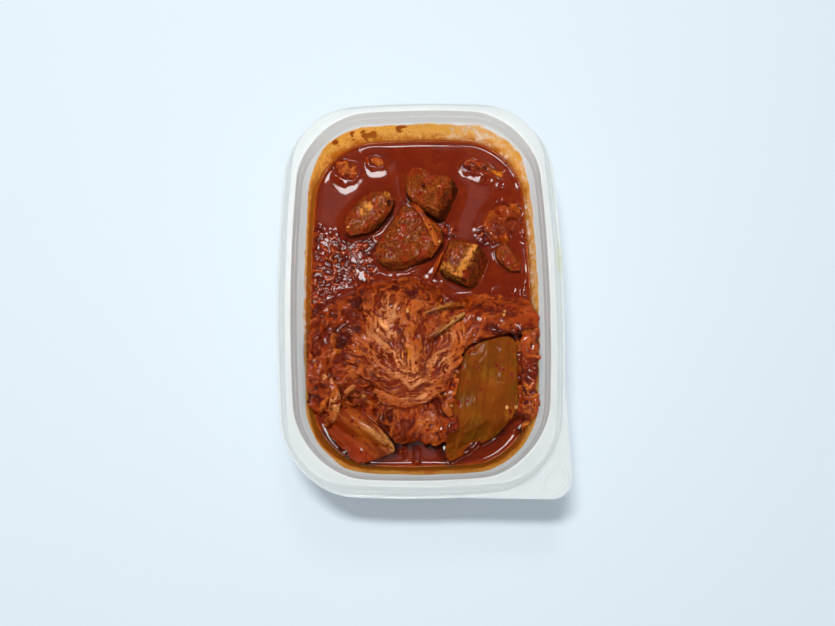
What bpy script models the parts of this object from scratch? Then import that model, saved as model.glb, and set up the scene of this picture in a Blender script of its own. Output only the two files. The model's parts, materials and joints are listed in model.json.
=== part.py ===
"""A takeaway tray of braised kimchi and pork.

The part is modelled in metres, +Z up, standing on the tray's flat base, with the tray's long
side along Y. Named sizes are in millimetres and are turned into metres when a mesh is made.
"""

import math
import random

import bmesh
import bpy
from mathutils import Vector, noise
from mathutils.bvhtree import BVHTree

MILLIMETRE = 0.001

# Tray: the outline is a rounded rectangle whose sides bow outwards
LIP_HALF_WIDTH = 62.5
LIP_HALF_LENGTH = 88.0
SIDE_BOW = 0.077
END_BOW = 0.043
CORNER_STEPS = 6
SIDE_STEPS = 6
END_STEPS = 4

# Heights above the table
RIM_TOP = 43.0
LIP_TOP = 34.2
LIP_UNDER = 33.4
INNER_EDGE_TOP = 33.0
FLOOR_TOP = 0.8
SAUCE_LEVEL = 22.0

# Rings of the shell as inset from the lip's outline, height and corner radius
SHELL_UNDER = (
    (24.5, 0.0, 17.0),
    (22.0, 0.3, 19.0),
    (20.2, 1.6, 21.0),
    (8.05, 32.5, 28.0),
    (7.45, 37.8, 28.0),
    (6.60, 42.2, 28.4),
    (5.75, 42.2, 22.4),
    (4.05, 37.6, 25.0),
    (3.30, 37.3, 25.6),
    (2.10, 34.0, 28.0),
    (1.70, LIP_UNDER, 28.6),
    (0.0, LIP_UNDER, 30.7),
)
SHELL_OVER = (
    (0.0, LIP_TOP, 30.7),
    (1.3, LIP_TOP + 0.2, 29.0),
    (2.5, 38.1, 26.6),
    (3.1, 38.4, 25.6),
    (4.7, 42.7, 22.4),
    (5.1, RIM_TOP, 21.6),
    (7.2, RIM_TOP, 29.0),
    (7.45, 42.8, 29.2),
    (8.1, 38.7, 28.4),
    (8.35, 38.4, 28.0),
    (8.75, INNER_EDGE_TOP + 0.4, 27.9),
    (9.0, INNER_EDGE_TOP, 27.7),
    (20.0, 2.4, 21.0),
    (21.0, 1.2, 20.0),
    (23.0, FLOOR_TOP, 18.0),
)
WALL_FOOT = SHELL_OVER[-3]
WALL_HEAD = SHELL_OVER[-4]

# Tab at the near right corner, in plan: its two straight edges meet in a round corner
TAB_RIGHT_START = (61.3, -41.0)
TAB_CORNER_CENTRE = (53.6, -80.2)
TAB_CORNER_RADIUS = 8.7
TAB_CORNER_STEPS = 7
TAB_BOTTOM_END = (14.0, -87.8)
TAB_INSET = 1.2
TAB_RAISE = 0.05

# The tab reaches past the lip at the near end, so the model moves to keep its box centred
FRAME_SHIFT_Y = (TAB_CORNER_RADIUS - TAB_CORNER_CENTRE[1] - LIP_HALF_LENGTH) / 2.0

# Raised triangular rib on the tab, in plan
TAB_RIB_CORNERS = ((49.2, -82.6), (56.9, -74.5), (60.2, -81.4), (55.0, -85.8))
TAB_RIB_STEPS = 24
TAB_RIB_HALF_WIDTH = 0.7
TAB_RIB_HEIGHT = 0.5

# Clearance between pieces that touch, and how far a cutter is grown past its piece
GAP = 0.3
CUTTER_GROWTH = 0.42

SAUCE_RINGS = (0.96, 0.86, 0.6, 0.3)

# Heap of kimchi: its outline where it stands in the sauce, and its two free edges
HEAP_OUTLINE = (
    (-56.0, -16.0), (-50.0, -10.5), (-42.0, -3.5), (-30.0, 3.5), (-18.0, 7.5), (-2.0, 8.0), (8.0, 3.0),
    (18.0, -2.0), (34.0, -2.0), (46.0, -2.5), (54.0, -8.0), (55.0, -28.0), (54.0, -46.0), (48.0, -54.0),
    (36.0, -55.0), (24.0, -58.0), (12.0, -60.0), (0.0, -61.5), (-12.0, -61.5), (-24.0, -60.0),
    (-34.0, -56.0), (-42.0, -52.0), (-51.0, -50.0), (-57.0, -40.0), (-58.0, -28.0),
)
HEAP_BACK_EDGE = ((-60.0, -14.0), (-43.5, -2.0), (-27.5, 7.5), (0.0, 11.0), (14.0, 1.5), (60.0, 0.0))
HEAP_FRONT_EDGE = (
    (-60.0, -51.0), (-42.0, -56.0), (-34.0, -61.0), (-22.0, -67.0), (-4.0, -68.5), (10.0, -68.0),
    (24.0, -64.0), (44.0, -61.0), (60.0, -58.0),
)
HEAP_RISE = 6.6
HEAP_BACK_SLOPE = 12.0
HEAP_FRONT_SLOPE = 7.0
HEAP_LOWEST_TOP = SAUCE_LEVEL + 0.6
HEAP_BOTTOM = 16.0
HEAP_LUMP_HEIGHT = 0.9
HEAP_LUMP_SIZE = 9.0
HEAP_SPOKES = 48
HEAP_RINGS = (0.0, 0.18, 0.36, 0.54, 0.7, 0.84, 0.94, 1.0)
HEAP_CENTRE = (-2.0, -30.0)
HEAP_HOLLOW_UNDER_LEAF = 0.9

# Swells of the heap under the leaves: centre, radius and height
HEAP_SWELLS = (
    ((-8.0, -24.0), 20.0, 2.0),
    ((30.0, -10.0), 14.0, 0.8),
    ((-45.0, -28.0), 12.0, 1.2),
    ((6.0, -55.0), 10.0, 1.0),
    ((27.0, -66.0), 13.0, -1.7),
    ((-24.0, -71.5), 9.0, 1.3),
    ((-42.0, -48.0), 8.0, -1.5),
)

# Small crumpled leaf pieces fused to the heap, and the span of X and of Y that they may cover
BIT_COUNT = 10
BIT_SEED = 11
BIT_CLEARANCE = 1.0
BIT_LENGTH = (7.0, 12.0)
BIT_WIDTH = (2.6, 4.2)
BIT_THICKNESS = 1.3
BIT_SIDES = 5
BIT_STEPS = 4
BIT_AREA = ((-53.0, 20.0), (-58.0, 9.0))


class Leaf:
    """A thin, draped piece of cabbage, given by its outline in plan."""

    def __init__(self, name, outline, centre, thickness, lift, wave_length, wave_height, spokes,
                 rings, tone):
        self.name = name
        self.outline = outline
        self.centre = centre
        self.thickness = thickness
        self.lift = lift
        self.wave_length = wave_length
        self.wave_height = wave_height
        self.spokes = spokes
        self.rings = rings
        self.tone = tone


# Leaves in the order in which they lie, the lowest first
LEAVES = (
    Leaf("stalk_corner", (
        (-33.0, -48.5), (-26.5, -50.5), (-19.5, -56.8), (-11.5, -66.0), (-13.0, -68.6), (-20.0, -71.6),
        (-28.0, -73.2), (-34.0, -68.0), (-40.0, -61.5), (-42.0, -56.4), (-36.5, -52.0)), (-25.5, -61.5), 2.4,
        1.0, 9.0, 0.4, 24, 4, "stalk"),
    Leaf("stalk_broad", (
        (20.5, -24.5), (30.5, -20.5), (40.5, -19.5), (41.5, -26.0), (41.5, -38.0), (41.0, -50.0),
        (36.5, -57.5), (31.0, -63.0), (24.5, -67.5), (16.0, -71.2), (9.8, -73.4), (9.8, -66.0),
        (11.0, -58.0), (14.0, -48.0), (16.0, -38.0), (17.5, -30.0)), (26.0, -44.0), 2.2, 0.6, 12.0, 0.3, 30, 4,
        "stalk"),
    Leaf("strip_right", (
        (44.0, -17.0), (50.5, -15.0), (52.5, -24.0), (52.5, -36.0), (51.0, -48.0), (47.5, -58.0),
        (44.0, -61.0), (42.8, -50.0), (43.0, -34.0), (43.2, -25.0)), (47.4, -37.0), 1.3, 1.0, 4.0, 0.8, 26, 3,
        "leaf"),
    Leaf("sheet_upper_right", (
        (14.0, -3.0), (22.0, 0.8), (35.5, 1.2), (46.5, -1.0), (51.0, -8.0), (51.5, -15.5), (43.5, -18.5),
        (34.5, -19.5), (27.0, -20.5), (20.5, -23.0), (15.0, -19.0), (11.5, -11.0)), (31.0, -10.0), 1.3, 0.7,
        5.0, 0.8, 28, 4, "leaf"),
    Leaf("leaf_front", (
        (-20.0, -45.0), (-11.5, -43.0), (-4.0, -43.5), (3.5, -43.0), (8.5, -45.0), (12.5, -51.0),
        (16.5, -58.0), (12.5, -62.0), (6.0, -66.0), (-1.0, -64.0), (-7.0, -66.0), (-14.0, -62.5),
        (-19.0, -55.0)), (-1.5, -54.0), 1.4, 0.9, 4.0, 1.0, 28, 4, "leaf"),
    Leaf("leaf_left", (
        (-38.0, -14.0), (-30.0, -11.0), (-22.0, -14.0), (-20.0, -24.0), (-20.0, -36.0), (-24.0, -43.0),
        (-31.0, -45.0), (-38.0, -38.0), (-40.0, -26.0)), (-29.5, -27.0), 1.3, 0.6, 4.5, 0.8, 24, 4, "leaf"),
    Leaf("leaf_back", (
        (-31.0, 2.0), (-22.0, 7.5), (-10.0, 9.5), (3.0, 8.5), (9.0, 3.0), (7.0, -5.0), (-3.0, -8.0),
        (-14.0, -7.0), (-25.0, -7.0), (-32.0, -4.0)), (-11.0, 1.0), 1.3, 0.6, 4.5, 0.8, 26, 4, "leaf"),
    Leaf("crown_leaf", (
        (-23.0, -2.5), (-17.5, 1.5), (-9.5, 0.5), (-3.5, -3.5), (1.5, -2.5), (8.5, -4.0), (14.0, -8.5),
        (18.0, -13.0), (20.5, -20.0), (18.0, -27.5), (14.5, -34.5), (10.5, -41.0), (5.5, -46.5),
        (-1.5, -50.0), (-9.5, -50.5), (-16.0, -49.0), (-19.5, -43.5), (-24.0, -38.0), (-30.0, -33.0),
        (-34.0, -27.0), (-33.0, -21.0), (-28.0, -17.0), (-24.5, -12.0), (-25.0, -7.5)), (-6.0, -24.0), 1.5,
        0.9, 5.0, 1.0, 40, 5, "crown"),
)

# Soft lumps of leaf that stand in the sauce: outline, centre, height above the sauce and roundness
LEAF_LUMPS = (
    ("leaf_lump_right", (
        (33.5, 44.0), (40.5, 47.5), (45.5, 43.0), (46.5, 33.5), (42.5, 25.5), (35.5, 24.0), (31.0, 27.0),
        (30.5, 35.5)), (38.5, 35.5), 4.4, 16),
    ("sunk_leaf_right", (
        (20.0, 65.0), (28.5, 66.0), (37.5, 61.5), (43.0, 56.0), (37.5, 53.5), (30.0, 56.5), (22.0, 60.0)),
        (31.5, 60.0), 1.8, 14),
    ("sunk_leaf_left", (
        (-39.0, 66.0), (-31.0, 67.5), (-25.5, 64.5), (-27.0, 58.5), (-33.5, 54.5), (-38.5, 58.0)),
        (-32.5, 61.5), 1.2, 12),
    ("sunk_leaf_back", (
        (-25.0, 67.5), (-19.5, 69.0), (-14.5, 64.5), (-18.0, 61.5), (-24.5, 63.0)), (-20.0, 65.0), 0.9, 10),
)

# Pork: outline in plan, centre, and faces as (height at the centre, slope along X, slope along Y)
PORK = (
    ("pork_back", (
        (-5.8, 55.5), (-2.5, 59.8), (3.0, 59.2), (5.8, 56.4), (13.0, 55.4), (18.2, 51.0), (17.6, 43.5),
        (12.0, 35.4), (8.5, 35.4), (-1.5, 41.2), (-5.6, 47.0), (-6.2, 51.5)), (6.0, 48.0),
        ((29.4, -0.04, -0.06), (40.0, -1.47, 0.62), (36.5, 0.35, 0.75)), 0.4),
    ("pork_left", (
        (-34.0, 36.0), (-29.5, 42.0), (-25.0, 46.8), (-20.0, 48.8), (-14.5, 49.0), (-11.0, 45.0),
        (-12.5, 39.5), (-18.0, 32.5), (-22.0, 30.0), (-31.0, 28.3), (-34.0, 31.0)), (-22.5, 39.0),
        ((27.4, 0.06, 0.05), (31.0, -0.35, 0.6)), 0.5),
    ("pork_slab", (
        (-17.2, 26.8), (-11.8, 35.0), (-8.0, 41.5), (-2.5, 40.6), (5.5, 35.4), (10.2, 31.0), (10.4, 24.5),
        (5.5, 17.6), (-1.0, 15.2), (-6.5, 12.6), (-14.0, 12.6), (-19.4, 17.2), (-19.8, 22.5)),
        (-5.0, 26.5), ((27.6, 0.02, 0.04), (34.0, -0.1, 0.75)), 0.8),
    ("pork_right", (
        (13.5, 24.3), (16.5, 24.6), (26.0, 22.5), (32.5, 16.5), (34.0, 9.5), (30.5, 3.6), (22.0, 3.6),
        (11.0, 8.5), (8.8, 11.8)), (21.0, 13.5),
        ((29.8, 0.03, 0.05), (31.0, -0.95, 0.45), (36.0, 0.55, 0.95)), 0.3),
    ("pork_bit", (
        (33.8, 21.0), (36.5, 24.3), (39.5, 24.3), (45.2, 14.0), (45.2, 11.0), (40.5, 11.0),
        (34.8, 16.0)), (39.8, 17.5), ((25.2, 0.05, 0.05),), 0.4),
)
PORK_BOTTOM = 9.0
PORK_SPAN_STEPS = 2
PORK_TENSION = 0.12
PORK_RINGS = (0.0, 0.4, 0.75, 0.94, 1.0)
SUNK_RINGS = (0.0, 1.0)
PORK_EDGE_DROP = 0.8

# Strips: path points with height, half width and half thickness at the middle
STRIPS = (
    ("shred_orange", ((-4.5, 43.6, 26.0), (-2.5, 41.5, 28.6), (0.5, 38.3, 30.0), (3.0, 33.5, 30.1),
                      (6.0, 28.0, 29.0), (7.8, 23.0, 27.0)), 1.7, 0.55, "shred"),
    ("shred_thin", ((10.6, 21.0, 23.2), (8.6, 17.0, 24.3), (6.8, 12.5, 25.2), (5.8, 9.5, 26.2)), 1.2, 0.5,
     "shred"),
    ("rib_upper", ((2.0, -9.5, 34.2), (8.5, -6.8, 33.9), (15.0, -5.4, 33.0), (19.5, -5.4, 32.0)), 1.2, 0.6,
     "rib"),
    ("rib_lower", ((3.0, -20.5, 35.4), (9.5, -16.0, 34.9), (15.0, -12.0, 34.0), (19.5, -9.6, 32.8)), 1.4,
     0.7, "rib"),
    ("rib_front", ((6.6, -44.5, 33.2), (10.5, -50.5, 32.4), (13.6, -56.0, 30.6), (15.2, -60.0, 27.6)), 1.9,
     0.8, "rib"),
    ("curl_left", ((-43.5, -36.0, 30.8), (-39.5, -39.0, 33.0), (-37.2, -44.0, 33.0), (-37.4, -49.5, 31.2),
                   (-39.8, -54.5, 27.6), (-41.5, -57.5, 23.6)), 2.8, 0.8, "leaf"),
    ("curl_arch", ((-33.6, -46.0, 30.6), (-31.6, -42.6, 32.8), (-28.2, -41.0, 33.6), (-25.4, -43.0, 33.0),
                   (-24.6, -46.5, 31.0)), 1.5, 0.6, "leaf"),
)
STRIP_SIDES = 6
STRIP_STEPS = 10

MATERIALS = {
    "tray": ((0.86, 0.88, 0.88), 0.35),
    "sauce": ((0.30, 0.045, 0.02), 0.15),
    "pork": ((0.34, 0.12, 0.035), 0.35),
    "leaf": ((0.42, 0.09, 0.02), 0.3),
    "crown": ((0.55, 0.17, 0.06), 0.35),
    "stalk": ((0.32, 0.19, 0.035), 0.3),
    "shred": ((0.62, 0.16, 0.03), 0.3),
    "rib": ((0.5, 0.33, 0.1), 0.35),
}


def clear_scene():
    for item in list(bpy.data.objects):
        bpy.data.objects.remove(item, do_unlink=True)


def make_material(name, colour, roughness):
    material = bpy.data.materials.new(name)
    material.use_nodes = True
    shader = material.node_tree.nodes["Principled BSDF"]
    shader.inputs["Base Color"].default_value = (*colour, 1.0)
    shader.inputs["Roughness"].default_value = roughness
    shader.inputs["Metallic"].default_value = 0.0
    return material


def smooth_step(value):
    value = min(max(value, 0.0), 1.0)
    return value * value * (3.0 - 2.0 * value)


def object_from_mesh(name, bm):
    """Turn a mesh in millimetres into an object in metres."""
    bmesh.ops.recalc_face_normals(bm, faces=bm.faces)
    bmesh.ops.translate(bm, vec=(0.0, FRAME_SHIFT_Y, 0.0), verts=bm.verts)
    bmesh.ops.scale(bm, vec=(MILLIMETRE,) * 3, verts=bm.verts)
    mesh = bpy.data.meshes.new(name)
    bm.to_mesh(mesh)
    bm.free()
    item = bpy.data.objects.new(name, mesh)
    bpy.context.collection.objects.link(item)
    return item


def tray_outline(inset, radius):
    """The tray's outline in plan, moved in from the lip."""
    half_width = LIP_HALF_WIDTH - inset
    half_length = LIP_HALF_LENGTH - inset
    centres = (
        (half_width - radius, half_length - radius, 0.0, END_STEPS),
        (radius - half_width, half_length - radius, 90.0, SIDE_STEPS),
        (radius - half_width, radius - half_length, 180.0, END_STEPS),
        (half_width - radius, radius - half_length, 270.0, SIDE_STEPS),
    )
    points = []
    for index, (centre_x, centre_y, start, steps) in enumerate(centres):
        for step in range(CORNER_STEPS + 1):
            angle = math.radians(start + 90.0 * step / CORNER_STEPS)
            points.append((centre_x + radius * math.cos(angle), centre_y + radius * math.sin(angle)))
        angle = math.radians(start + 90.0)
        next_x, next_y = centres[(index + 1) % 4][:2]
        end = (next_x + radius * math.cos(angle), next_y + radius * math.sin(angle))
        last = points[-1]
        for step in range(1, steps):
            share = step / steps
            points.append((last[0] + (end[0] - last[0]) * share, last[1] + (end[1] - last[1]) * share))
    return [
        (x * (1.0 - SIDE_BOW * (y / half_length) ** 2), y * (1.0 - END_BOW * (x / half_width) ** 2))
        for x, y in points
    ]


def loft(bm, loops):
    """Skin closed loops of equal length, and close both ends."""
    rings = [[bm.verts.new(point) for point in loop] for loop in loops]
    for lower, upper in zip(rings, rings[1:]):
        count = len(lower)
        for index in range(count):
            after = (index + 1) % count
            bm.faces.new((lower[index], lower[after], upper[after], upper[index]))
    bm.faces.new(list(reversed(rings[0])))
    bm.faces.new(rings[-1])


def shell_loop(inset, height, radius):
    return [(x, y, height) for x, y in tray_outline(inset, radius)]


def wall_ring(height, gap):
    """Inset and corner radius of the tray's inner wall at a height, moved in by a gap."""
    share = (WALL_HEAD[1] - height) / (WALL_HEAD[1] - WALL_FOOT[1])
    share = min(max(share, 0.0), 1.0)
    inset = WALL_HEAD[0] + (WALL_FOOT[0] - WALL_HEAD[0]) * share
    radius = WALL_HEAD[2] + (WALL_FOOT[2] - WALL_HEAD[2]) * share
    return inset + gap, radius


def boolean(target, other, operation, solver="EXACT"):
    modifier = target.modifiers.new("boolean", "BOOLEAN")
    modifier.operation = operation
    modifier.solver = solver
    modifier.object = other
    apply_modifier(target, modifier)


def apply_modifier(item, modifier):
    graph = bpy.context.evaluated_depsgraph_get()
    result = bpy.data.meshes.new_from_object(item.evaluated_get(graph))
    item.modifiers.remove(modifier)
    old = item.data
    item.data = result
    bpy.data.meshes.remove(old)


def remove_object(item):
    mesh = item.data
    bpy.data.objects.remove(item, do_unlink=True)
    bpy.data.meshes.remove(mesh)


def keep_largest(item):
    """Drop the loose scraps that a cut leaves, and keep the main body."""
    bm = bmesh.new()
    bm.from_mesh(item.data)
    bmesh.ops.triangulate(bm, faces=bm.faces)
    islands = []
    left = set(bm.verts)
    while left:
        stack = [left.pop()]
        island = set(stack)
        while stack:
            vert = stack.pop()
            for edge in vert.link_edges:
                other = edge.other_vert(vert)
                if other in left:
                    left.discard(other)
                    island.add(other)
                    stack.append(other)
        islands.append(island)

    def reach(island):
        spans = []
        for axis in range(3):
            values = [vert.co[axis] for vert in island]
            spans.append(max(values) - min(values))
        return spans[0] * spans[1] * spans[2]

    islands.sort(key=reach, reverse=True)
    scraps = [vert for island in islands[1:] for vert in island]
    if scraps:
        bmesh.ops.delete(bm, geom=scraps, context="VERTS")
    bm.to_mesh(item.data)
    bm.free()


def build_tray():
    bm = bmesh.new()
    loft(bm, [shell_loop(*ring) for ring in SHELL_UNDER + SHELL_OVER])
    tray = object_from_mesh("tray", bm)
    for helper in (build_tab(), build_tab_rib()):
        boolean(tray, helper, "UNION")
        remove_object(helper)
    return tray


def build_tab():
    """The flat tab on the lip, up to a line just inside the lip's edge."""
    points = [TAB_RIGHT_START]
    centre_x, centre_y = TAB_CORNER_CENTRE
    for step in range(TAB_CORNER_STEPS + 1):
        angle = math.radians(-90.0 * step / TAB_CORNER_STEPS)
        x = centre_x + TAB_CORNER_RADIUS * math.cos(angle)
        y = centre_y + TAB_CORNER_RADIUS * math.sin(angle)
        points.append((x, y))
    points.append(TAB_BOTTOM_END)
    inner = [
        point for point in tray_outline(TAB_INSET, SHELL_OVER[0][2] - TAB_INSET)
        if point[0] > TAB_BOTTOM_END[0] and point[1] < TAB_RIGHT_START[1]
    ]
    inner.sort(key=lambda point: math.atan2(point[1], point[0]))
    bm = bmesh.new()
    low = [bm.verts.new((x, y, LIP_UNDER)) for x, y in points + inner]
    face = bm.faces.new(low)
    extruded = bmesh.ops.extrude_face_region(bm, geom=[face])
    moved = [item for item in extruded["geom"] if isinstance(item, bmesh.types.BMVert)]
    bmesh.ops.translate(bm, vec=(0.0, 0.0, LIP_TOP - LIP_UNDER + TAB_RAISE), verts=moved)
    return object_from_mesh("tab", bm)


def build_tab_rib():
    """A closed rib along a rounded triangle."""
    path = closed_curve(TAB_RIB_CORNERS, TAB_RIB_STEPS)
    bm = bmesh.new()
    loops = []
    count = len(path)
    for index in range(count):
        before = Vector(path[index - 1])
        after = Vector(path[(index + 1) % count])
        along = (after - before).normalized()
        side = Vector((along.y, -along.x)) * TAB_RIB_HALF_WIDTH
        x, y = path[index]
        top = LIP_TOP + TAB_RIB_HEIGHT
        loops.append([
            (x + side.x, y + side.y, LIP_TOP - GAP),
            (x + side.x * 0.6, y + side.y * 0.6, top),
            (x - side.x * 0.6, y - side.y * 0.6, top),
            (x - side.x, y - side.y, LIP_TOP - GAP),
        ])
    rings = [[bm.verts.new(point) for point in loop] for loop in loops]
    for index in range(count):
        ring = rings[index]
        following = rings[(index + 1) % count]
        for corner in range(4):
            after = (corner + 1) % 4
            bm.faces.new((ring[corner], ring[after], following[after], following[corner]))
    return object_from_mesh("tab_rib", bm)


def curve_point(p0, p1, p2, p3, share, tension=0.5):
    """A point between p1 and p2 on a curve through both; a low tension keeps the corners tight."""
    square = share * share
    cube = square * share
    start = (p2 - p0) * tension
    end = (p3 - p1) * tension
    return (p1 * (2.0 * cube - 3.0 * square + 1.0) + start * (cube - 2.0 * square + share)
            + p2 * (3.0 * square - 2.0 * cube) + end * (cube - square))


def curve_spans(points, steps, tension=0.5):
    """Sample a closed curve through the points, with a number of steps on each span."""
    total = len(points)
    result = []
    for index in range(total):
        p0, p1, p2, p3 = (Vector(points[(index + shift) % total]) for shift in (-1, 0, 1, 2))
        result += [curve_point(p0, p1, p2, p3, step / steps, tension) for step in range(steps)]
    return result


def closed_curve(points, count):
    """Sample a smooth closed curve through the points at equal steps along it."""
    fine = curve_spans(points, 8)
    lengths = [0.0]
    for index in range(len(fine)):
        lengths.append(lengths[-1] + (fine[(index + 1) % len(fine)] - fine[index]).length)
    result = []
    place = 0
    for index in range(count):
        wanted = lengths[-1] * index / count
        while lengths[place + 1] < wanted:
            place += 1
        share = (wanted - lengths[place]) / (lengths[place + 1] - lengths[place])
        point = fine[place].lerp(fine[(place + 1) % len(fine)], share)
        result.append((point.x, point.y))
    return result


def distance_to_line(x, y, line):
    """Distance to an open line, and its sign: positive on the left of its direction."""
    best = 1e9
    sign = 1.0
    for start, end in zip(line, line[1:]):
        along_x = end[0] - start[0]
        along_y = end[1] - start[1]
        share = ((x - start[0]) * along_x + (y - start[1]) * along_y) / (along_x ** 2 + along_y ** 2)
        share = min(max(share, 0.0), 1.0)
        off_x = x - start[0] - along_x * share
        off_y = y - start[1] - along_y * share
        distance = math.hypot(off_x, off_y)
        if distance < best:
            best = distance
            sign = 1.0 if along_x * off_y - along_y * off_x > 0.0 else -1.0
    return best * sign


def inside_distance(x, y, outline):
    """Distance to a closed outline, positive inside it."""
    closed = list(outline) + [outline[0]]
    inside = False
    for start, end in zip(closed, closed[1:]):
        if (start[1] > y) != (end[1] > y):
            cross = start[0] + (y - start[1]) * (end[0] - start[0]) / (end[1] - start[1])
            if x < cross:
                inside = not inside
    distance = abs(distance_to_line(x, y, closed))
    return distance if inside else -distance


def heap_height(x, y):
    """Top of the heap's core."""
    behind = -distance_to_line(x, y, HEAP_BACK_EDGE)
    front = distance_to_line(x, y, HEAP_FRONT_EDGE)
    height = SAUCE_LEVEL - 0.8 + (HEAP_RISE + 0.8) * smooth_step(
        min(behind / HEAP_BACK_SLOPE, front / HEAP_FRONT_SLOPE))
    for (centre_x, centre_y), radius, rise in HEAP_SWELLS:
        away = math.hypot(x - centre_x, y - centre_y) / radius
        height += rise * math.exp(-2.0 * away * away)
    spot = Vector((x / HEAP_LUMP_SIZE, y / HEAP_LUMP_SIZE, 0.0))
    return height + HEAP_LUMP_HEIGHT * noise.noise(spot)


def stack_height(x, y, level):
    """Top of what lies under the leaf of a level, eased over the edges of the leaves below."""
    height = heap_height(x, y)
    for leaf in LEAVES[:level]:
        cover = smooth_step((inside_distance(x, y, leaf.outline) + 3.0) / 3.0)
        height += (leaf.thickness + leaf.lift) * cover
    return height


def patch(name, edge, centre, rings, top, bottom, low_rings=None):
    """A closed solid inside an edge, between a top and a bottom surface, split alike."""
    spokes = len(edge)
    bm = bmesh.new()

    def surface(height, rings):
        middle = bm.verts.new((centre[0], centre[1], height(centre[0], centre[1], 0.0, 0.0)))
        loops = []
        for share in rings[1:]:
            loop = []
            for index, (edge_x, edge_y) in enumerate(edge):
                x = centre[0] + (edge_x - centre[0]) * share
                y = centre[1] + (edge_y - centre[1]) * share
                loop.append(bm.verts.new((x, y, height(x, y, share, index / spokes))))
            loops.append(loop)
        for index in range(spokes):
            after = (index + 1) % spokes
            bm.faces.new((middle, loops[0][index], loops[0][after]))
            for near, far in zip(loops, loops[1:]):
                bm.faces.new((near[index], far[index], far[after]))
                bm.faces.new((near[index], far[after], near[after]))
        return loops[-1]

    upper = surface(top, rings)
    lower = surface(bottom, low_rings or rings)
    for index in range(spokes):
        after = (index + 1) % spokes
        bm.faces.new((upper[index], upper[after], lower[after], lower[index]))
    return object_from_mesh(name, bm)


def build_heap_core():
    def top(x, y, share, turn):
        cover = max(smooth_step((inside_distance(x, y, leaf.outline) + 2.0) / 3.0) for leaf in LEAVES)
        return max(heap_height(x, y) - HEAP_HOLLOW_UNDER_LEAF * cover, HEAP_LOWEST_TOP)

    def bottom(x, y, share, turn):
        return HEAP_BOTTOM

    edge = closed_curve(HEAP_OUTLINE, HEAP_SPOKES)
    return patch("kimchi_heap", edge, HEAP_CENTRE, HEAP_RINGS, top, bottom, SUNK_RINGS)


def build_bits():
    """Small curled strips where no leaf covers the heap."""
    draw = random.Random(BIT_SEED)
    bits = []
    while len(bits) < BIT_COUNT:
        x = draw.uniform(*BIT_AREA[0])
        y = draw.uniform(*BIT_AREA[1])
        path, width = bit_path(x, y, draw)
        on_heap = all(inside_distance(px, py, HEAP_OUTLINE) > BIT_CLEARANCE for px, py, _ in path)
        clear = all(
            inside_distance(px, py, leaf.outline) < -width - BIT_CLEARANCE
            for px, py, _ in path for leaf in LEAVES
        )
        if on_heap and clear:
            bits.append(strip(f"bit_{len(bits)}", path, width, BIT_THICKNESS / 2.0, BIT_SIDES, BIT_STEPS))
    return bits


def bit_path(x, y, draw):
    """A curled path across the heap, half sunk into it, and the half width of its strip."""
    turn = draw.uniform(0.0, math.pi)
    length = draw.uniform(*BIT_LENGTH)
    arch = draw.uniform(0.6, 1.6)
    path = []
    for step in range(4):
        share = step / 3.0 - 0.5
        px = x + length * share * math.cos(turn)
        py = y + length * share * math.sin(turn)
        path.append((px, py, heap_height(px, py) + arch * (1.0 - 4.0 * share * share) - 0.2))
    return path, draw.uniform(*BIT_WIDTH) / 2.0


def fuse(item, pieces):
    """Join loose pieces to an object with one Boolean union on a collection."""
    group = bpy.data.collections.new("fused")
    bpy.context.scene.collection.children.link(group)
    for piece in pieces:
        group.objects.link(piece)
    modifier = item.modifiers.new("fused", "BOOLEAN")
    modifier.operation = "UNION"
    modifier.operand_type = "COLLECTION"
    modifier.solver = "EXACT"
    modifier.collection = group
    apply_modifier(item, modifier)
    for piece in pieces:
        remove_object(piece)
    bpy.data.collections.remove(group)


def strip(name, points, half_width, half_thickness, sides=STRIP_SIDES, steps=STRIP_STEPS):
    """A flat, tapered strip swept along a smooth open path."""
    path = open_curve(points, steps)
    bm = bmesh.new()
    loops = []
    for index, point in enumerate(path):
        before = path[max(index - 1, 0)]
        after = path[min(index + 1, len(path) - 1)]
        along = (after - before).normalized()
        side = along.cross(Vector((0.0, 0.0, 1.0))).normalized()
        up = side.cross(along).normalized()
        share = index / (len(path) - 1)
        taper = 0.35 + 0.65 * math.sin(math.pi * (0.08 + 0.84 * share)) ** 0.5
        loop = []
        for corner in range(sides):
            angle = 2.0 * math.pi * corner / sides
            loop.append(point + side * (half_width * taper * math.cos(angle))
                        + up * (half_thickness * taper * math.sin(angle)))
        loops.append(loop)
    loft(bm, loops)
    return object_from_mesh(name, bm)


def open_curve(points, count):
    """Sample a smooth open curve through the points."""
    knots = [Vector(point) for point in points]
    knots = [knots[0] * 2.0 - knots[1]] + knots + [knots[-1] * 2.0 - knots[-2]]
    spans = len(points) - 1
    result = []
    for index in range(count):
        place = spans * index / (count - 1)
        span = min(int(place), spans - 1)
        result.append(curve_point(*knots[span:span + 4], place - span))
    return result


def build_leaf(level):
    leaf = LEAVES[level]
    rings = [(ring / leaf.rings) ** 0.8 for ring in range(leaf.rings + 1)]

    def under(x, y, share, turn):
        spot = Vector((x / leaf.wave_length, y / leaf.wave_length, level * 5.0))
        wave = leaf.wave_height * share * noise.noise(spot) * 2.0
        return stack_height(x, y, level) + leaf.lift + wave

    def over(x, y, share, turn):
        return under(x, y, share, turn) + leaf.thickness * (1.0 - 0.45 * share ** 4)

    edge = closed_curve(leaf.outline, leaf.spokes)
    return patch(leaf.name, edge, leaf.centre, rings, over, under)


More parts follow.
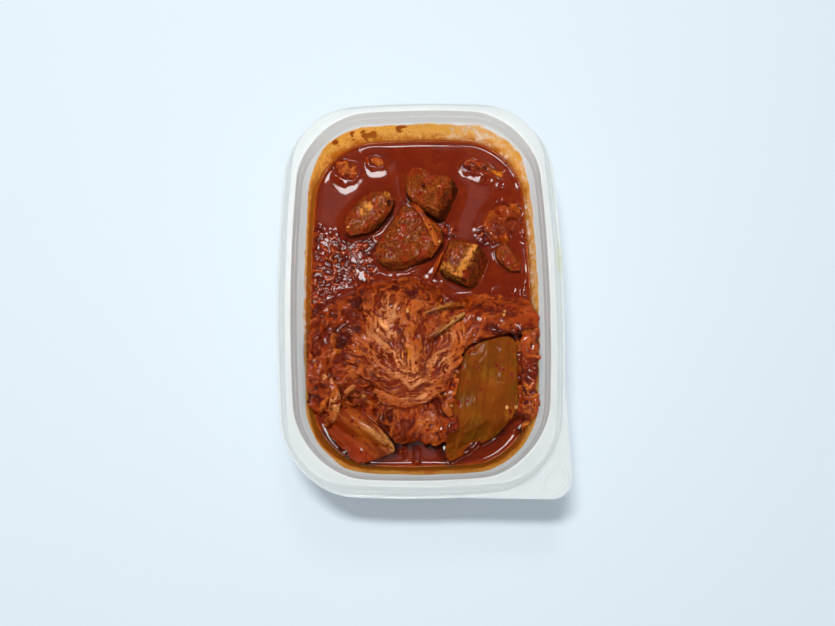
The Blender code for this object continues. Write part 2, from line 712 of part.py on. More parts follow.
def build_leaf_lump(name, outline, centre, rise, spokes):
    rings = (0.0, 0.35, 0.65, 0.85, 1.0)

    def top(x, y, share, turn):
        lump = 0.8 * rise * noise.noise(Vector((x / 4.0, y / 4.0, 3.0)))
        return SAUCE_LEVEL - 0.5 + (rise + 0.5) * (1.0 - share ** 2.2) + lump * (1.0 - share)

    def bottom(x, y, share, turn):
        return SAUCE_LEVEL - 2.0 - 5.0 * (1.0 - share ** 2)

    return patch(name, closed_curve(outline, spokes), centre, rings, top, bottom, SUNK_RINGS)


def build_pork(name, outline, centre, faces, roughness):
    """A cut of pork: its top is the lowest of a few sloping faces, with rounded edges."""
    def top(x, y, share, turn):
        heights = [
            height + slope_x * (x - centre[0]) + slope_y * (y - centre[1])
            for height, slope_x, slope_y in faces
        ]
        grain = roughness * noise.noise(Vector((x / 2.6, y / 2.6, 1.0)))
        edge = PORK_EDGE_DROP * smooth_step((share - 0.85) / 0.15)
        return min(heights) + grain - edge

    def bottom(x, y, share, turn):
        return PORK_BOTTOM + 3.0 * share ** 3

    edge = [tuple(point) for point in curve_spans(outline, PORK_SPAN_STEPS, PORK_TENSION)]
    return patch(name, edge, centre, PORK_RINGS, top, bottom, SUNK_RINGS)


def sauce_height(x, y, share):
    """Level of the sauce: it climbs a little at the wall and ripples over what lies under it."""
    climb = 0.8 * smooth_step((share - 0.94) / 0.06)
    pulp = 0.0
    for centre_x, centre_y, radius in ((-38.0, 22.0, 11.0), (-42.0, 10.0, 12.0), (-28.0, 14.0, 10.0)):
        away = math.hypot(x - centre_x, y - centre_y) / radius
        pulp += math.exp(-2.0 * away * away)
    ripple = noise.noise(Vector((x / 5.0, y / 5.0, 7.0)))
    return SAUCE_LEVEL + climb + pulp * (0.5 + 0.6 * ripple)


def build_sauce():
    heights = (FLOOR_TOP + GAP, 2.4 + GAP, 12.0, SAUCE_LEVEL)
    insets = [(SHELL_OVER[-1][0] + GAP, SHELL_OVER[-1][2])]
    insets += [wall_ring(height, GAP) for height in heights[1:]]
    loops = [shell_loop(inset, height, radius) for height, (inset, radius) in zip(heights, insets)]
    edge = loops[-1]
    loops[-1] = [(x, y, sauce_height(x, y, 1.0)) for x, y, _ in edge]
    for share in SAUCE_RINGS:
        loops.append([(x * share, y * share, sauce_height(x * share, y * share, share)) for x, y, _ in edge])
    bm = bmesh.new()
    loft(bm, loops)
    return object_from_mesh("sauce", bm)


def build_cavity():
    """The space inside the tray, less the gap, which trims whatever lies against the wall."""
    heights = (FLOOR_TOP + GAP, WALL_FOOT[1], WALL_HEAD[1], RIM_TOP)
    loops = [shell_loop(SHELL_OVER[-1][0] + GAP, heights[0], SHELL_OVER[-1][2])]
    for height in heights[1:]:
        inset, radius = wall_ring(height, GAP * 1.3)
        loops.append(shell_loop(inset, height, radius))
    bm = bmesh.new()
    loft(bm, loops)
    return object_from_mesh("cavity", bm)


def grown_copy(item):
    """A copy of a piece, grown a little along its normals, that cuts what lies against it."""
    bm = bmesh.new()
    bm.from_mesh(item.data)
    bm.normal_update()
    moves = [(vert, vert.normal * (CUTTER_GROWTH * MILLIMETRE)) for vert in bm.verts]
    for vert, move in moves:
        vert.co += move
    mesh = bpy.data.meshes.new(item.name + "_cutter")
    bm.to_mesh(mesh)
    bm.free()
    copy = bpy.data.objects.new(item.name + "_cutter", mesh)
    copy.hide_render = True
    copy.display_type = "WIRE"
    bpy.context.collection.objects.link(copy)
    return copy


def surfaces_meet(first, second):
    trees = []
    for item in (first, second):
        bm = bmesh.new()
        bm.from_mesh(item.data)
        trees.append(BVHTree.FromBMesh(bm))
        bm.free()
    return bool(trees[0].overlap(trees[1]))


def finish_piece(item, tone):
    colour, roughness = MATERIALS[tone]
    item.data.materials.clear()
    item.data.materials.append(make_material(item.name, colour, roughness))
    item.data.shade_smooth()
    item.data.set_sharp_from_angle(angle=math.radians(40.0))


def cut_where_they_meet(item, cutters):
    for cutter in cutters:
        if surfaces_meet(item, cutter):
            boolean(item, cutter, "DIFFERENCE")
    keep_largest(item)


def main():
    clear_scene()
    tray = build_tray()
    cavity = build_cavity()

    # What lies on top comes first: each piece is cut by all the pieces before it
    pieces = []
    for name, points, half_width, half_thickness, tone in STRIPS:
        pieces.append((strip(name, points, half_width, half_thickness), tone))
    for level in reversed(range(len(LEAVES))):
        pieces.append((build_leaf(level), LEAVES[level].tone))
    for name, outline, centre, faces, roughness in PORK:
        pieces.append((build_pork(name, outline, centre, faces, roughness), "pork"))
    for name, outline, centre, rise, spokes in LEAF_LUMPS:
        pieces.append((build_leaf_lump(name, outline, centre, rise, spokes), "leaf"))
    cutters = []
    for item, _ in pieces:
        if surfaces_meet(item, cavity):
            boolean(item, cavity, "INTERSECT")
        cut_where_they_meet(item, cutters)
        cutters.append(grown_copy(item))

    # The heap's core and bits cut the sauce one by one, and are then joined
    heap = build_heap_core()
    cut_where_they_meet(heap, cutters)
    bits = build_bits()
    cutters += [grown_copy(item) for item in [heap] + bits]
    fuse(heap, bits)
    boolean(heap, cavity, "INTERSECT")
    keep_largest(heap)
    pieces.append((heap, "leaf"))

    sauce = build_sauce()
    cut_where_they_meet(sauce, cutters)
    pieces.append((sauce, "sauce"))

    for helper in cutters + [cavity]:
        remove_object(helper)
    for item, tone in pieces + [(tray, "tray")]:
        finish_piece(item, tone)


main()
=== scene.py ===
"""Looks of braised kimchi and pork in a takeaway tray.

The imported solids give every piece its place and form. This script gives them their fine surface:
folds, fibres, grain and wet gloss. It also makes the tray's rounded moulding, the sauce with its
skin, and the chilli flakes, seeds and crumbs. Sizes are in millimetres unless a name says
otherwise, and colours are screen values from 0 to 255.
"""

import itertools
import json
import math

import bmesh
import bpy
import numpy as np
from bpy.props import FloatProperty, FloatVectorProperty, IntProperty, PointerProperty
from mathutils import Matrix, Quaternion, Vector
from mathutils.bvhtree import BVHTree

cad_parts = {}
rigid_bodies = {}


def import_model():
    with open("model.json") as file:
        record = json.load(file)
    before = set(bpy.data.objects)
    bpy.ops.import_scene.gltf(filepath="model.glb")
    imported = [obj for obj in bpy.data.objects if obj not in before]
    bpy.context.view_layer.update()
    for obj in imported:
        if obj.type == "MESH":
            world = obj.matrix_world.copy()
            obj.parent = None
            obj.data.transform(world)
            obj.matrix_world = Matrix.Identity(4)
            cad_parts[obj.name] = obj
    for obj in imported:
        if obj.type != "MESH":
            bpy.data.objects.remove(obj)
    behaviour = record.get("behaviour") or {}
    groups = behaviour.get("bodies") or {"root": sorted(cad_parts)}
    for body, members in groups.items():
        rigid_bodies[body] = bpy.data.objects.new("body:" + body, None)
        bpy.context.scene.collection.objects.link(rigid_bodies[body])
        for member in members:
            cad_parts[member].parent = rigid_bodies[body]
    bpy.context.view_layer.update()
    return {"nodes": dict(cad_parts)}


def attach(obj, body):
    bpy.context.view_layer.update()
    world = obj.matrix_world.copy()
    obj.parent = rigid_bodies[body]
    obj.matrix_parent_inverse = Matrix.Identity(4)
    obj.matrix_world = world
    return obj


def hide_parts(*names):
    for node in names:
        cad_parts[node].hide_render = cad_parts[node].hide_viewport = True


bl_info = {
    "name": "Braised kimchi in a takeaway tray",
    "version": (1, 0, 0),
    "blender": (4, 5, 0),
    "location": "View3D > Sidebar > Kimchi",
    "description": "Builds the fine surfaces of a tray of braised kimchi and pork",
    "category": "Object",
}

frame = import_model()
MM = 0.001

# Tray: the same outline and rings as the solid, as inset from the lip, height and corner radius
LIP_HALF_WIDTH = 62.5
LIP_HALF_LENGTH = 88.0
SIDE_BOW = 0.077
END_BOW = 0.043
FRAME_SHIFT_Y = 0.45
TRAY_CORNER_STEPS = 28
TRAY_SIDE_STEPS = 24
TRAY_END_STEPS = 16
LIP_UNDER = 33.4
LIP_TOP = 34.2
RIM_TOP = 43.0
WALL_FOOT = (20.0, 2.4, 21.0)
WALL_HEAD = (9.0, 33.0, 27.7)
TRAY_UNDER = (
    (24.5, 0.0, 17.0), (22.0, 0.3, 19.0), (20.2, 1.6, 21.0), (8.05, 32.5, 28.0), (7.45, 37.8, 28.0),
    (6.60, 42.2, 28.4), (5.75, 42.2, 22.4), (4.05, 37.6, 25.0), (3.30, 37.3, 25.6), (2.10, 34.0, 28.0),
    (1.70, LIP_UNDER, 28.6), (0.0, LIP_UNDER, 30.7),
)
TRAY_OVER = (
    (0.0, LIP_TOP, 30.7), (1.3, 34.4, 29.0), (2.5, 38.1, 26.6), (3.1, 38.4, 25.6), (4.7, 42.7, 22.4),
    (5.1, RIM_TOP, 21.6), (7.2, RIM_TOP, 29.0), (7.45, 42.8, 29.2), (8.1, 38.7, 28.4),
    (8.35, 38.4, 28.0), (8.75, 33.4, 27.9), WALL_HEAD, WALL_FOOT, (21.0, 1.2, 20.0), (23.0, 0.8, 18.0),
)
TRAY_FILLET = 0.28
TRAY_FILLET_STEPS = 3
TRAY_FILLET_SHARE = 0.45
TRAY_SHARP_DEGREES = 50.0
WALL_CORNER_RADIUS = 29.0
INNER_RING_HEIGHTS = tuple(range(31, 19, -1))
OUTER_RING_HEIGHTS = (6, 12, 16, 19, 21, 23, 25, 28)
TAB_RIGHT_START = (61.3, -41.0)
TAB_CORNER_CENTRE = (53.6, -80.2)
TAB_CORNER_RADIUS = 8.7
TAB_CORNER_STEPS = 20
TAB_BOTTOM_END = (14.0, -87.8)
TAB_INSET = 1.2
TAB_THICKNESS = 0.85
TAB_RIB_CORNERS = ((49.2, -82.6), (56.9, -74.5), (60.2, -81.4), (55.0, -85.8))
TAB_RIB_HALF_WIDTH = 0.7
TAB_RIB_HEIGHT = 0.5
TAB_RIB_STEPS = 72
TAB_RIB_PROFILE = (
    (1.0, -0.3), (0.9, 0.25), (0.55, TAB_RIB_HEIGHT), (-0.55, TAB_RIB_HEIGHT), (-0.9, 0.25), (-1.0, -0.3),
)

# Sauce: its level, the gap between it and the wall, and the rings and spokes of its mesh
SAUCE_LEVEL = 22.0
SAUCE_GAP = 0.12
SAUCE_SPOKES = 820
SAUCE_RING_STEP = 0.45
SAUCE_SIDE_HEIGHTS = (1.1, 2.7, 8.0, 15.0, 20.0, SAUCE_LEVEL - 0.6)
# How far it climbs the wall, swells towards the front and climbs the pieces that stand in it
WALL_CLIMB = 0.9
WALL_CLIMB_REACH = 1.1
FRONT_SWELL = 0.9
PIECE_CLIMB = 0.8
PIECE_CLIMB_REACH = 1.7
PIECE_CLIMB_END = 9.0
CLIMB_EVEN_ROUNDS = 14
# Shade on the sauce close to pieces, nearer to the camera than a line across the tray
SHADE_FROM = -58.0
SHADE_REACH = 2.6
# Where pulp makes the sauce lumpy, in plan, with its reach
PULP_PATCHES = (
    ((-38.0, 22.0), 10.0), ((-42.0, 10.0), 11.0), ((-28.0, 13.0), 9.0), ((-47.0, -2.0), 8.0),
    ((-24.0, 24.0), 6.0), ((30.0, 28.0), 6.0), ((13.0, 31.0), 4.5), ((-46.0, 31.0), 5.0),
    ((23.0, 62.0), 3.5), ((-22.0, 66.0), 3.5),
)

# Crown leaf: its wrinkles fan out from one pole at the back, and sweep round another at the front
FAN_POLE = (-3.0, -50.0)
SWEEP_POLE = (-7.0, -8.0)
FAN_ENDS_AT = -33.0
CROWN_MIDDLE = (-4.0, -31.0)

# Pockets between the leaves, pressed in and painted dark with shade, in plan, with their radius
SHADED_POCKETS = (
    ((-28.1, -2.2), 2.4), ((-29.8, -8.0), 3.0), ((-34.4, -19.5), 3.2), ((-26.4, -15.6), 2.2),
    ((-20.7, -23.3), 1.5), ((7.0, -47.6), 2.4), ((-26.5, -47.5), 2.4), ((-13.5, -53.5), 1.5),
    ((12.0, -1.5), 2.2), ((-44.0, -45.0), 2.2), ((-43.6, -6.8), 2.0), ((-36.0, -29.0), 1.6),
    ((43.0, -19.0), 1.6), ((-46.0, -24.0), 2.0),
)
POCKET_DEPTH = 1.3

# The room that food keeps from the wall, and the most that the heap reaches to either side
WALL_ROOM = 0.2
HEAP_HALF_WIDTH = 49.5

# Sizes of the small even faces that the heap and the pork are remeshed into
HEAP_VOXEL = 0.55
PORK_VOXEL = 0.36
PORK_NODES = ("pork_back", "pork_left", "pork_slab", "pork_right", "pork_bit")

# Places of marks, in plan, with their radius
CROWN_PALE = (((-12.4, -7.0), 5.0), ((-15.5, -17.0), 7.5), ((-12.0, -31.0), 8.0), ((-3.0, -41.0), 8.0),
              ((8.0, -30.0), 5.0), ((11.0, -19.0), 4.0))
CROWN_YELLOW = (((-6.4, -26.3), 2.2), ((2.5, -23.0), 1.7))
GARLIC_ON_PORK = ((9.3, 50.2), 0.75)
PORK_LEFT_FAT = (((-23.1, 42.2), 2.2), ((-14.2, 47.8), 1.3), ((-25.5, 39.6), 1.6))
PORK_SEAMS = (((2.2, 51.2), 1.1), ((-13.4, 43.6), 1.4))
PORK_FAT_CORNERS = ((25.0, 22.0), (20.2, 14.8), (16.6, 8.4), (10.6, 13.6))
SUNK_ORANGE = ((35.5, 57.5), 3.2)
# A line along the pale edge of the corner stalk: a point on it and the direction away from it
CORNER_EDGE_START = (-27.0, -50.0)
CORNER_EDGE_NORMAL = (-0.73, -0.685)

# Camera: where it stands and the point on the table that it looks at
CAMERA_PLACE = (1.892, -81.171, 395.290)
CAMERA_AIM = (-1.531, -2.016, 0.0)
CAMERA_ROLL_DEGREES = -3.294
CAMERA_LENS = 36.64
CAMERA_SENSOR = 36.0

# Lights, in metres: where the key light stands, its widths, and where the lights aim
KEY_PLACE = (-0.13, 0.3, 1.22)
KEY_WIDTHS = (0.36, 0.15)
FOOD_KEY_WIDTHS = (0.12, 0.12)
TRAY_MIDDLE = (0.0, 0.0, 0.03)
FAR_WALL = (0.0, 0.085, 0.034)
# Faint lights above that lay a sheen on the sauce: name, place and power
SHEENS = (("far_sheen", 0.095, 0.46, 0.09), ("left_sheen", -0.175, 0.46, 0.08),
          ("near_sheen", -0.02, -0.04, 0.1))
SHEEN_WIDTHS = (0.17, 0.17)
# Lights that reach only the dish, or only the tray: name, place, widths, power and if wet things show it
DISH_LIGHTS = (
    ("near_spark", (-0.05, -0.8, 0.95), (0.4, 0.08), 1.9, True),
    ("left_spark", (-0.9, 0.1, 0.9), (0.06, 0.2), 0.6, True),
    ("near_fill", (-0.1, -0.95, 0.75), (0.5, 0.5), 0.6, False),
)
TRAY_LIGHTS = (
    ("left_fill", (-0.95, 0.1, 0.36), (0.3, 0.2), 1.1, False),
    ("right_fill", (0.95, 0.1, 0.36), (0.3, 0.2), 2.2, False),
    ("near_low", (0.0, -1.0, 0.42), (0.5, 0.2), 0.7, False),
)
DISH_LIGHT_COLOUR = (1.0, 0.95, 0.86)
TABLE_LIGHT_COLOUR = (1.0, 1.0, 1.0)
TABLE_KEY_SHARE = 0.45
SKY_COLOUR = (0.92, 0.97, 1.0, 1.0)

# Table: a square far wider than the view, just under the tray, in millimetres
TABLE_HALF_WIDTH = 3000.0
TABLE_DROP = 0.05

MERGE_DISTANCE = 0.000002
CURVE_STEPS = 24


def srgb(red, green, blue):
    """A screen colour from 0 to 255 as the linear colour that materials use."""
    values = []
    for value in (red, green, blue):
        share = value / 255.0
        values.append(share / 12.92 if share <= 0.04045 else ((share + 0.055) / 1.055) ** 2.4)
    return tuple(values)


def size_property(name, description, default, lowest=0.0, highest=10.0):
    return FloatProperty(name=name, description=description, default=default, min=lowest, max=highest)


def colour_property(name, description, default):
    return FloatVectorProperty(name=name, description=description, default=srgb(*default), size=3,
                               min=0.0, max=1.0, subtype="COLOR")


class KimchiTraySettings(bpy.types.PropertyGroup):
    """Colours of the tray, and how rough it is."""

    plastic: colour_property("Plastic", "Colour of the clean plastic", (226, 236, 238))
    stain: colour_property("Stain", "Colour of the oily stain on the inner wall", (244, 160, 52))
    deep_stain: colour_property("Deep stain", "Colour of the stain near the sauce", (178, 78, 12))
    speck: colour_property("Speck", "Colour of the chilli specks on the wall", (96, 26, 6))
    roughness: size_property("Roughness", "Roughness of the clean plastic", 0.34, 0.0, 1.0)


class KimchiSauceSettings(bpy.types.PropertyGroup):
    """Sizes and colours of the sauce."""

    body: colour_property("Body", "Colour of the deep sauce", (120, 38, 6))
    thin: colour_property("Thin", "Colour where the sauce is thin over the wall", (164, 70, 12))
    dark: colour_property("Dark", "Colour of the sauce between lumps", (78, 16, 4))
    ripple: size_property("Ripple", "Height of the ripples in millimetres", 0.012)
    pulp: size_property("Pulp", "Height of the pulpy lumps in millimetres", 0.75)


class KimchiLeafSettings(bpy.types.PropertyGroup):
    """Sizes and colours of the cabbage."""

    # The crease colour is partly sauce gathered in the creases and partly painted shade, laid where the
    # leaf's relief is low
    crease: colour_property("Crease", "Colour in the creases, where sauce gathers", (74, 15, 3))
    body: colour_property("Body", "Colour of the dyed leaf", (156, 62, 12))
    crown: colour_property("Crown", "Colour of the leaf on top", (176, 80, 20))
    pale: colour_property("Pale", "Colour of the palest crests", (232, 160, 100))
    stalk: colour_property("Stalk", "Colour of the thick stalks", (112, 62, 8))
    pale_stalk: colour_property("Pale stalk", "Colour of the stalks' bare places", (140, 92, 26))
    rib: colour_property("Rib", "Colour of the thin ribs", (158, 96, 34))
    fold: size_property("Fold", "Height of the folds in millimetres", 0.9)


class KimchiPorkSettings(bpy.types.PropertyGroup):
    """Sizes and colours of the pork."""

    meat: colour_property("Meat", "Colour of the cooked meat", (144, 70, 17))
    dark: colour_property("Dark", "Colour of the dark grain", (70, 22, 5))
    fat: colour_property("Fat", "Colour of the fat edges", (214, 136, 56))
    grain: size_property("Grain", "Depth of the grain in millimetres", 0.26)


class KimchiFlakeSettings(bpy.types.PropertyGroup):
    """Numbers, sizes and colours of what is scattered."""

    flake_density: FloatProperty(name="Flakes", description="Chilli flakes for each square centimetre",
                                 default=24.0, min=0.0, max=200.0)
    seed_density: FloatProperty(name="Seeds", description="Chilli seeds for each square centimetre",
                                default=0.35, min=0.0, max=20.0)
    crumb_density: FloatProperty(name="Crumbs", description="Pale crumbs for each square centimetre",
                                 default=1.2, min=0.0, max=50.0)
    flake: colour_property("Flake", "Colour of the chilli flakes", (132, 30, 6))
    seed: colour_property("Seed", "Colour of the chilli seeds", (214, 158, 84))
    crumb: colour_property("Crumb", "Colour of the small pale crumbs", (196, 110, 44))
    random_seed: IntProperty(name="Random seed", description="Seed of the scattering", default=5)


class KimchiStageSettings(bpy.types.PropertyGroup):
    """Colour of the table and strength of the lights."""

    floor: colour_property("Floor", "Colour of the table", (232, 244, 253))
    key_power: FloatProperty(name="Key light", description="Power of the small light above", default=5.6,
                             min=0.0, unit="POWER")
    food_power: FloatProperty(name="Food light", description="Power of the light on the food alone",
                              default=6.4, min=0.0, unit="POWER")
    table_power: FloatProperty(name="Table light", description="Power of the light on the table alone",
                               default=5.8, min=0.0, unit="POWER")
    sky: FloatProperty(name="Sky", description="Strength of the even light", default=0.22, min=0.0)


class Value:
    """A material's socket that takes part in sums: each sum adds a Math node."""

    def __init__(self, finish, socket):
        self.finish = finish
        self.socket = socket

    def math(self, operation, *values):
        return self.finish.node("ShaderNodeMath", {"operation": operation}, values)

    def __add__(self, other):
        return self.math("ADD", self, other)

    __radd__ = __add__

    def __sub__(self, other):
        return self.math("SUBTRACT", self, other)

    def __rsub__(self, other):
        return self.math("SUBTRACT", other, self)

    def __mul__(self, other):
        return self.math("MULTIPLY", self, other)

    __rmul__ = __mul__

    def clamped(self):
        return self.math("MINIMUM", self.math("MAXIMUM", self, 0.0), 1.0)

    def step(self, low, high):
        """Rises smoothly from 0 at low to 1 at high."""
        settings = {"interpolation_type": "SMOOTHSTEP"}
        return self.finish.node("ShaderNodeMapRange", settings, {"Value": self, "From Min": low,
                                                                 "From Max": high})


class Finish:
    """Builds the nodes of one material."""

    def __init__(self, name, **uniform):
        self.material = bpy.data.materials.new(name)
        self.material.use_nodes = True
        self.tree = self.material.node_tree
        self.shader = self.tree.nodes["Principled BSDF"]
        for socket, value in uniform.items():
            self.shader.inputs[socket.replace("_", " ")].default_value = value

    def node(self, kind, settings=None, values=(), output=0):
        """Add a node: its settings come first, then the values or links of its sockets."""
        node = self.tree.nodes.new(kind)
        for name, setting in (settings or {}).items():
            setattr(node, name, setting)
        pairs = values.items() if isinstance(values, dict) else enumerate(values)
        for key, value in pairs:
            self.plug(node.inputs[key], value)
        return Value(self, node.outputs[output])

    def plug(self, socket, value):
        if isinstance(value, Value):
            self.tree.links.new(value.socket, socket)
        elif isinstance(value, tuple) and len(value) == 3 and socket.type == "RGBA":
            socket.default_value = (*value, 1.0)
        else:
            socket.default_value = value

    def attribute(self, name):
        return self.node("ShaderNodeAttribute", {"attribute_name": name}, output="Fac")

    def place(self, stretch=(1.0, 1.0, 1.0)):
        """Object coordinates in millimetres, stretched along the axes."""
        spot = self.node("ShaderNodeTexCoord", output="Object")
        scale = tuple(value / MM for value in stretch)
        return self.node("ShaderNodeMapping", None, {"Vector": spot, "Scale": scale})

    def noise(self, size, detail=2.0, roughness=0.6, distortion=0.0, stretch=(1.0, 1.0, 1.0)):
        values = {"Vector": self.place(stretch), "Scale": 1.0 / size, "Detail": detail,
                  "Roughness": roughness, "Distortion": distortion}
        return self.node("ShaderNodeTexNoise", None, values)

    def cells(self, size):
        """Distance from the middle of the nearest of many small cells."""
        values = {"Vector": self.place(), "Scale": 1.0 / size}
        return self.node("ShaderNodeTexVoronoi", None, values)

    def mix(self, factor, first, second):
        """Mix two colours."""
        values = {0: factor, 6: first, 7: second}
        return self.node("ShaderNodeMix", {"data_type": "RGBA"}, values, output=2)

    def bump(self, height, distance):
        """Dents and bumps of up to a distance in millimetres."""
        self.set("Normal", self.node("ShaderNodeBump", None, {"Height": height, "Distance": distance * MM}))

    def set(self, socket, value):
        self.plug(self.shader.inputs[socket], value)


class SlopeNoise:
    """Smooth noise over many points at once, from about -1 to 1 and the same each run."""

    def __init__(self, seed):
        draw = np.random.default_rng(seed)
        self.order = np.tile(draw.permutation(256), 2)
        slopes = draw.normal(size=(256, 3))
        self.slopes = slopes / np.linalg.norm(slopes, axis=1, keepdims=True)

    def __call__(self, points):
        cell = np.floor(points).astype(int)
        inside = points - cell
        ease = inside ** 3 * (inside * (inside * 6.0 - 15.0) + 10.0)
        total = np.zeros(len(points))
        for corner in itertools.product((0, 1), repeat=3):
            spot = (cell + corner) & 255
            index = self.order[self.order[self.order[spot[:, 0]] + spot[:, 1]] + spot[:, 2]]
            weight = np.prod(np.where(np.array(corner) == 1, ease, 1.0 - ease), axis=1)
            total += weight * np.einsum("ij,ij->i", self.slopes[index], inside - corner)
        return total * 1.6


SLOPE_NOISE = SlopeNoise(7)


def noise(points, size, shift=0.0):
    """Noise with bumps of about a size; a size of three numbers stretches them."""
    return SLOPE_NOISE(points / np.array(size) + shift)


def creases(points, size, shift=0.0):
    """Thin crests, near 1, between broad hollows, near 0."""
    return 1.0 - np.minimum(np.abs(noise(points, size, shift)) * 2.2, 1.0)


def warped(points, size, reach, shift=0.0):
    moves = [noise(points, size, shift + 17.3 * axis) for axis in range(3)]
    return points + reach * np.stack(moves, axis=1)


def smooth_step(low, high, values):
    share = np.clip((values - low) / (high - low), 0.0, 1.0)
    return share * share * (3.0 - 2.0 * share)


def spots(points, marks):
    """A soft mask, 1 at the middle of each mark in plan."""
    mask = np.zeros(len(points))
    for (x, y), radius in marks:
        away = np.hypot(points[:, 0] - x, points[:, 1] - y) / radius
        mask = np.maximum(mask, np.exp(-(away ** 4)))
    return mask


class Skin:
    """The fine surface of a mesh object: its points in millimetres and its outward directions."""

    def __init__(self, item):
        self.item = item
        self.mesh = item.data
        count = len(self.mesh.vertices)
        flat = np.empty(count * 3)
        self.mesh.vertices.foreach_get("co", flat)
        self.points = flat.reshape(count, 3) / MM
        ends = np.empty(len(self.mesh.edges) * 2, dtype=int)
        self.mesh.edges.foreach_get("vertices", ends)
        self.edges = ends.reshape(-1, 2)

    def directions(self):
        self.write()
        flat = np.empty(len(self.points) * 3)
        self.mesh.vertex_normals.foreach_get("vector", flat)
        return flat.reshape(-1, 3)

    def relax(self, rounds):
        """Even out the facets of the solid."""
        count = len(self.points)
        ends = np.concatenate([self.edges[:, 0], self.edges[:, 1]])
        others = np.concatenate([self.edges[:, 1], self.edges[:, 0]])
        degree = np.maximum(np.bincount(ends, minlength=count), 1)[:, None]
        for _ in range(rounds):
            near = self.points[others]
            total = np.stack([np.bincount(ends, near[:, axis], count) for axis in range(3)], axis=1)
            self.points = 0.5 * self.points + 0.5 * total / degree

    def ruffle(self, reach, size, seed):
        """Make the outline uneven by moving the points sideways."""
        broad, fine = (
            np.stack([noise(self.points, width, seed + 9.0 * axis) for axis in range(2)], axis=1)
            for width in (size, size * 0.4)
        )
        self.points[:, :2] += reach * broad + 0.4 * reach * fine

    def push(self, heights):
        """Move the points outwards by heights in millimetres."""
        self.points = self.points + self.directions() * heights[:, None]

    def keep_off_wall(self):
        """Move points that reach the tray's wall back towards the middle."""
        wall = wall_at(self.points[:, 2])[0] + WALL_ROOM
        lack = np.maximum(wall - wall_inset(self.points), 0.0)
        away = self.points[:, :2] - np.array((0.0, FRAME_SHIFT_Y))
        reach = np.maximum(np.linalg.norm(away, axis=1), 1.0)
        self.points[:, :2] -= away * (1.15 * lack / reach)[:, None]

    def write(self):
        self.mesh.vertices.foreach_set("co", (self.points * MM).ravel())
        self.mesh.update()

    def store(self, **values):
        """Keep values on the points, each from 0 to 1, for the materials."""
        for name, numbers in values.items():
            layer = self.mesh.attributes.new(name, "FLOAT", "POINT")
            layer.data.foreach_set("value", np.clip(numbers, 0.0, 1.0))

    def finish(self, material, slot, *nodes):
        self.write()
        self.mesh.materials.clear()
        self.mesh.materials.append(material)
        self.mesh.shade_smooth()
        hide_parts(*nodes)
        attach(self.item, "root")


def link_mesh(name, mesh):
    item = bpy.data.objects.new(name, mesh)
    bpy.context.scene.collection.objects.link(item)
    return item


def plain_mesh(name, bm):
    mesh = bpy.data.meshes.new(name)
    bm.to_mesh(mesh)
    bm.free()
    return mesh


def mesh_object(name, bm):
    """Turn a mesh in millimetres into an object in metres."""
    bmesh.ops.recalc_face_normals(bm, faces=bm.faces)
    bmesh.ops.scale(bm, vec=(MM, MM, MM), verts=bm.verts)
    return link_mesh(name, plain_mesh(name, bm))


def apply_modifiers(item):
    graph = bpy.context.evaluated_depsgraph_get()
    result = bpy.data.meshes.new_from_object(item.evaluated_get(graph))
    item.modifiers.clear()
    old = item.data
    item.data = result
    bpy.data.meshes.remove(old)


def dense_copy(node, voxel):
    """A copy of a solid, merged and remeshed into small even faces."""
    bm = bmesh.new()
    bm.from_mesh(frame["nodes"][node].data)
    bmesh.ops.remove_doubles(bm, verts=bm.verts, dist=MERGE_DISTANCE)
    item = link_mesh("fine_" + node, plain_mesh("fine_" + node, bm))
    even = item.modifiers.new("even", "REMESH")
    even.mode = "VOXEL"
    even.voxel_size = voxel * MM
    even.adaptivity = 0.0
    apply_modifiers(item)
    return Skin(item)


def tray_outline(inset, radius):
    """The tray's outline in plan, moved in from the lip."""
    half_width = LIP_HALF_WIDTH - inset
    half_length = LIP_HALF_LENGTH - inset
    centres = (
        (half_width - radius, half_length - radius, 0.0, TRAY_END_STEPS),
        (radius - half_width, half_length - radius, 90.0, TRAY_SIDE_STEPS),
        (radius - half_width, radius - half_length, 180.0, TRAY_END_STEPS),
        (half_width - radius, radius - half_length, 270.0, TRAY_SIDE_STEPS),
    )
    points = []
    for index, (centre_x, centre_y, start, steps) in enumerate(centres):
        for step in range(TRAY_CORNER_STEPS + 1):
            angle = math.radians(start + 90.0 * step / TRAY_CORNER_STEPS)
            points.append((centre_x + radius * math.cos(angle), centre_y + radius * math.sin(angle)))
        angle = math.radians(start + 90.0)
        next_x, next_y = centres[(index + 1) % 4][:2]
        end = (next_x + radius * math.cos(angle), next_y + radius * math.sin(angle))
        last = points[-1]
        for step in range(1, steps):
            share = step / steps
            points.append((last[0] + (end[0] - last[0]) * share, last[1] + (end[1] - last[1]) * share))
    return [
        (x * (1.0 - SIDE_BOW * (y / half_length) ** 2),
         y * (1.0 - END_BOW * (x / half_width) ** 2) + FRAME_SHIFT_Y)
        for x, y in points
    ]


def wall_inset(points):
    """How far points lie in from the lip's outline, in plan."""
    x = points[:, 0]
    y = points[:, 1] - FRAME_SHIFT_Y
    straight_x = np.abs(x) / (1.0 - SIDE_BOW * (y / LIP_HALF_LENGTH) ** 2)
    straight_y = np.abs(y) / (1.0 - END_BOW * (x / LIP_HALF_WIDTH) ** 2)
    over_x = np.maximum(straight_x - (LIP_HALF_WIDTH - WALL_CORNER_RADIUS), 0.0)
    over_y = np.maximum(straight_y - (LIP_HALF_LENGTH - WALL_CORNER_RADIUS), 0.0)
    in_corner = WALL_CORNER_RADIUS - np.hypot(over_x, over_y)
    in_middle = np.minimum(LIP_HALF_WIDTH - straight_x, LIP_HALF_LENGTH - straight_y)
    return np.where((over_x > 0.0) | (over_y > 0.0), in_corner, in_middle)


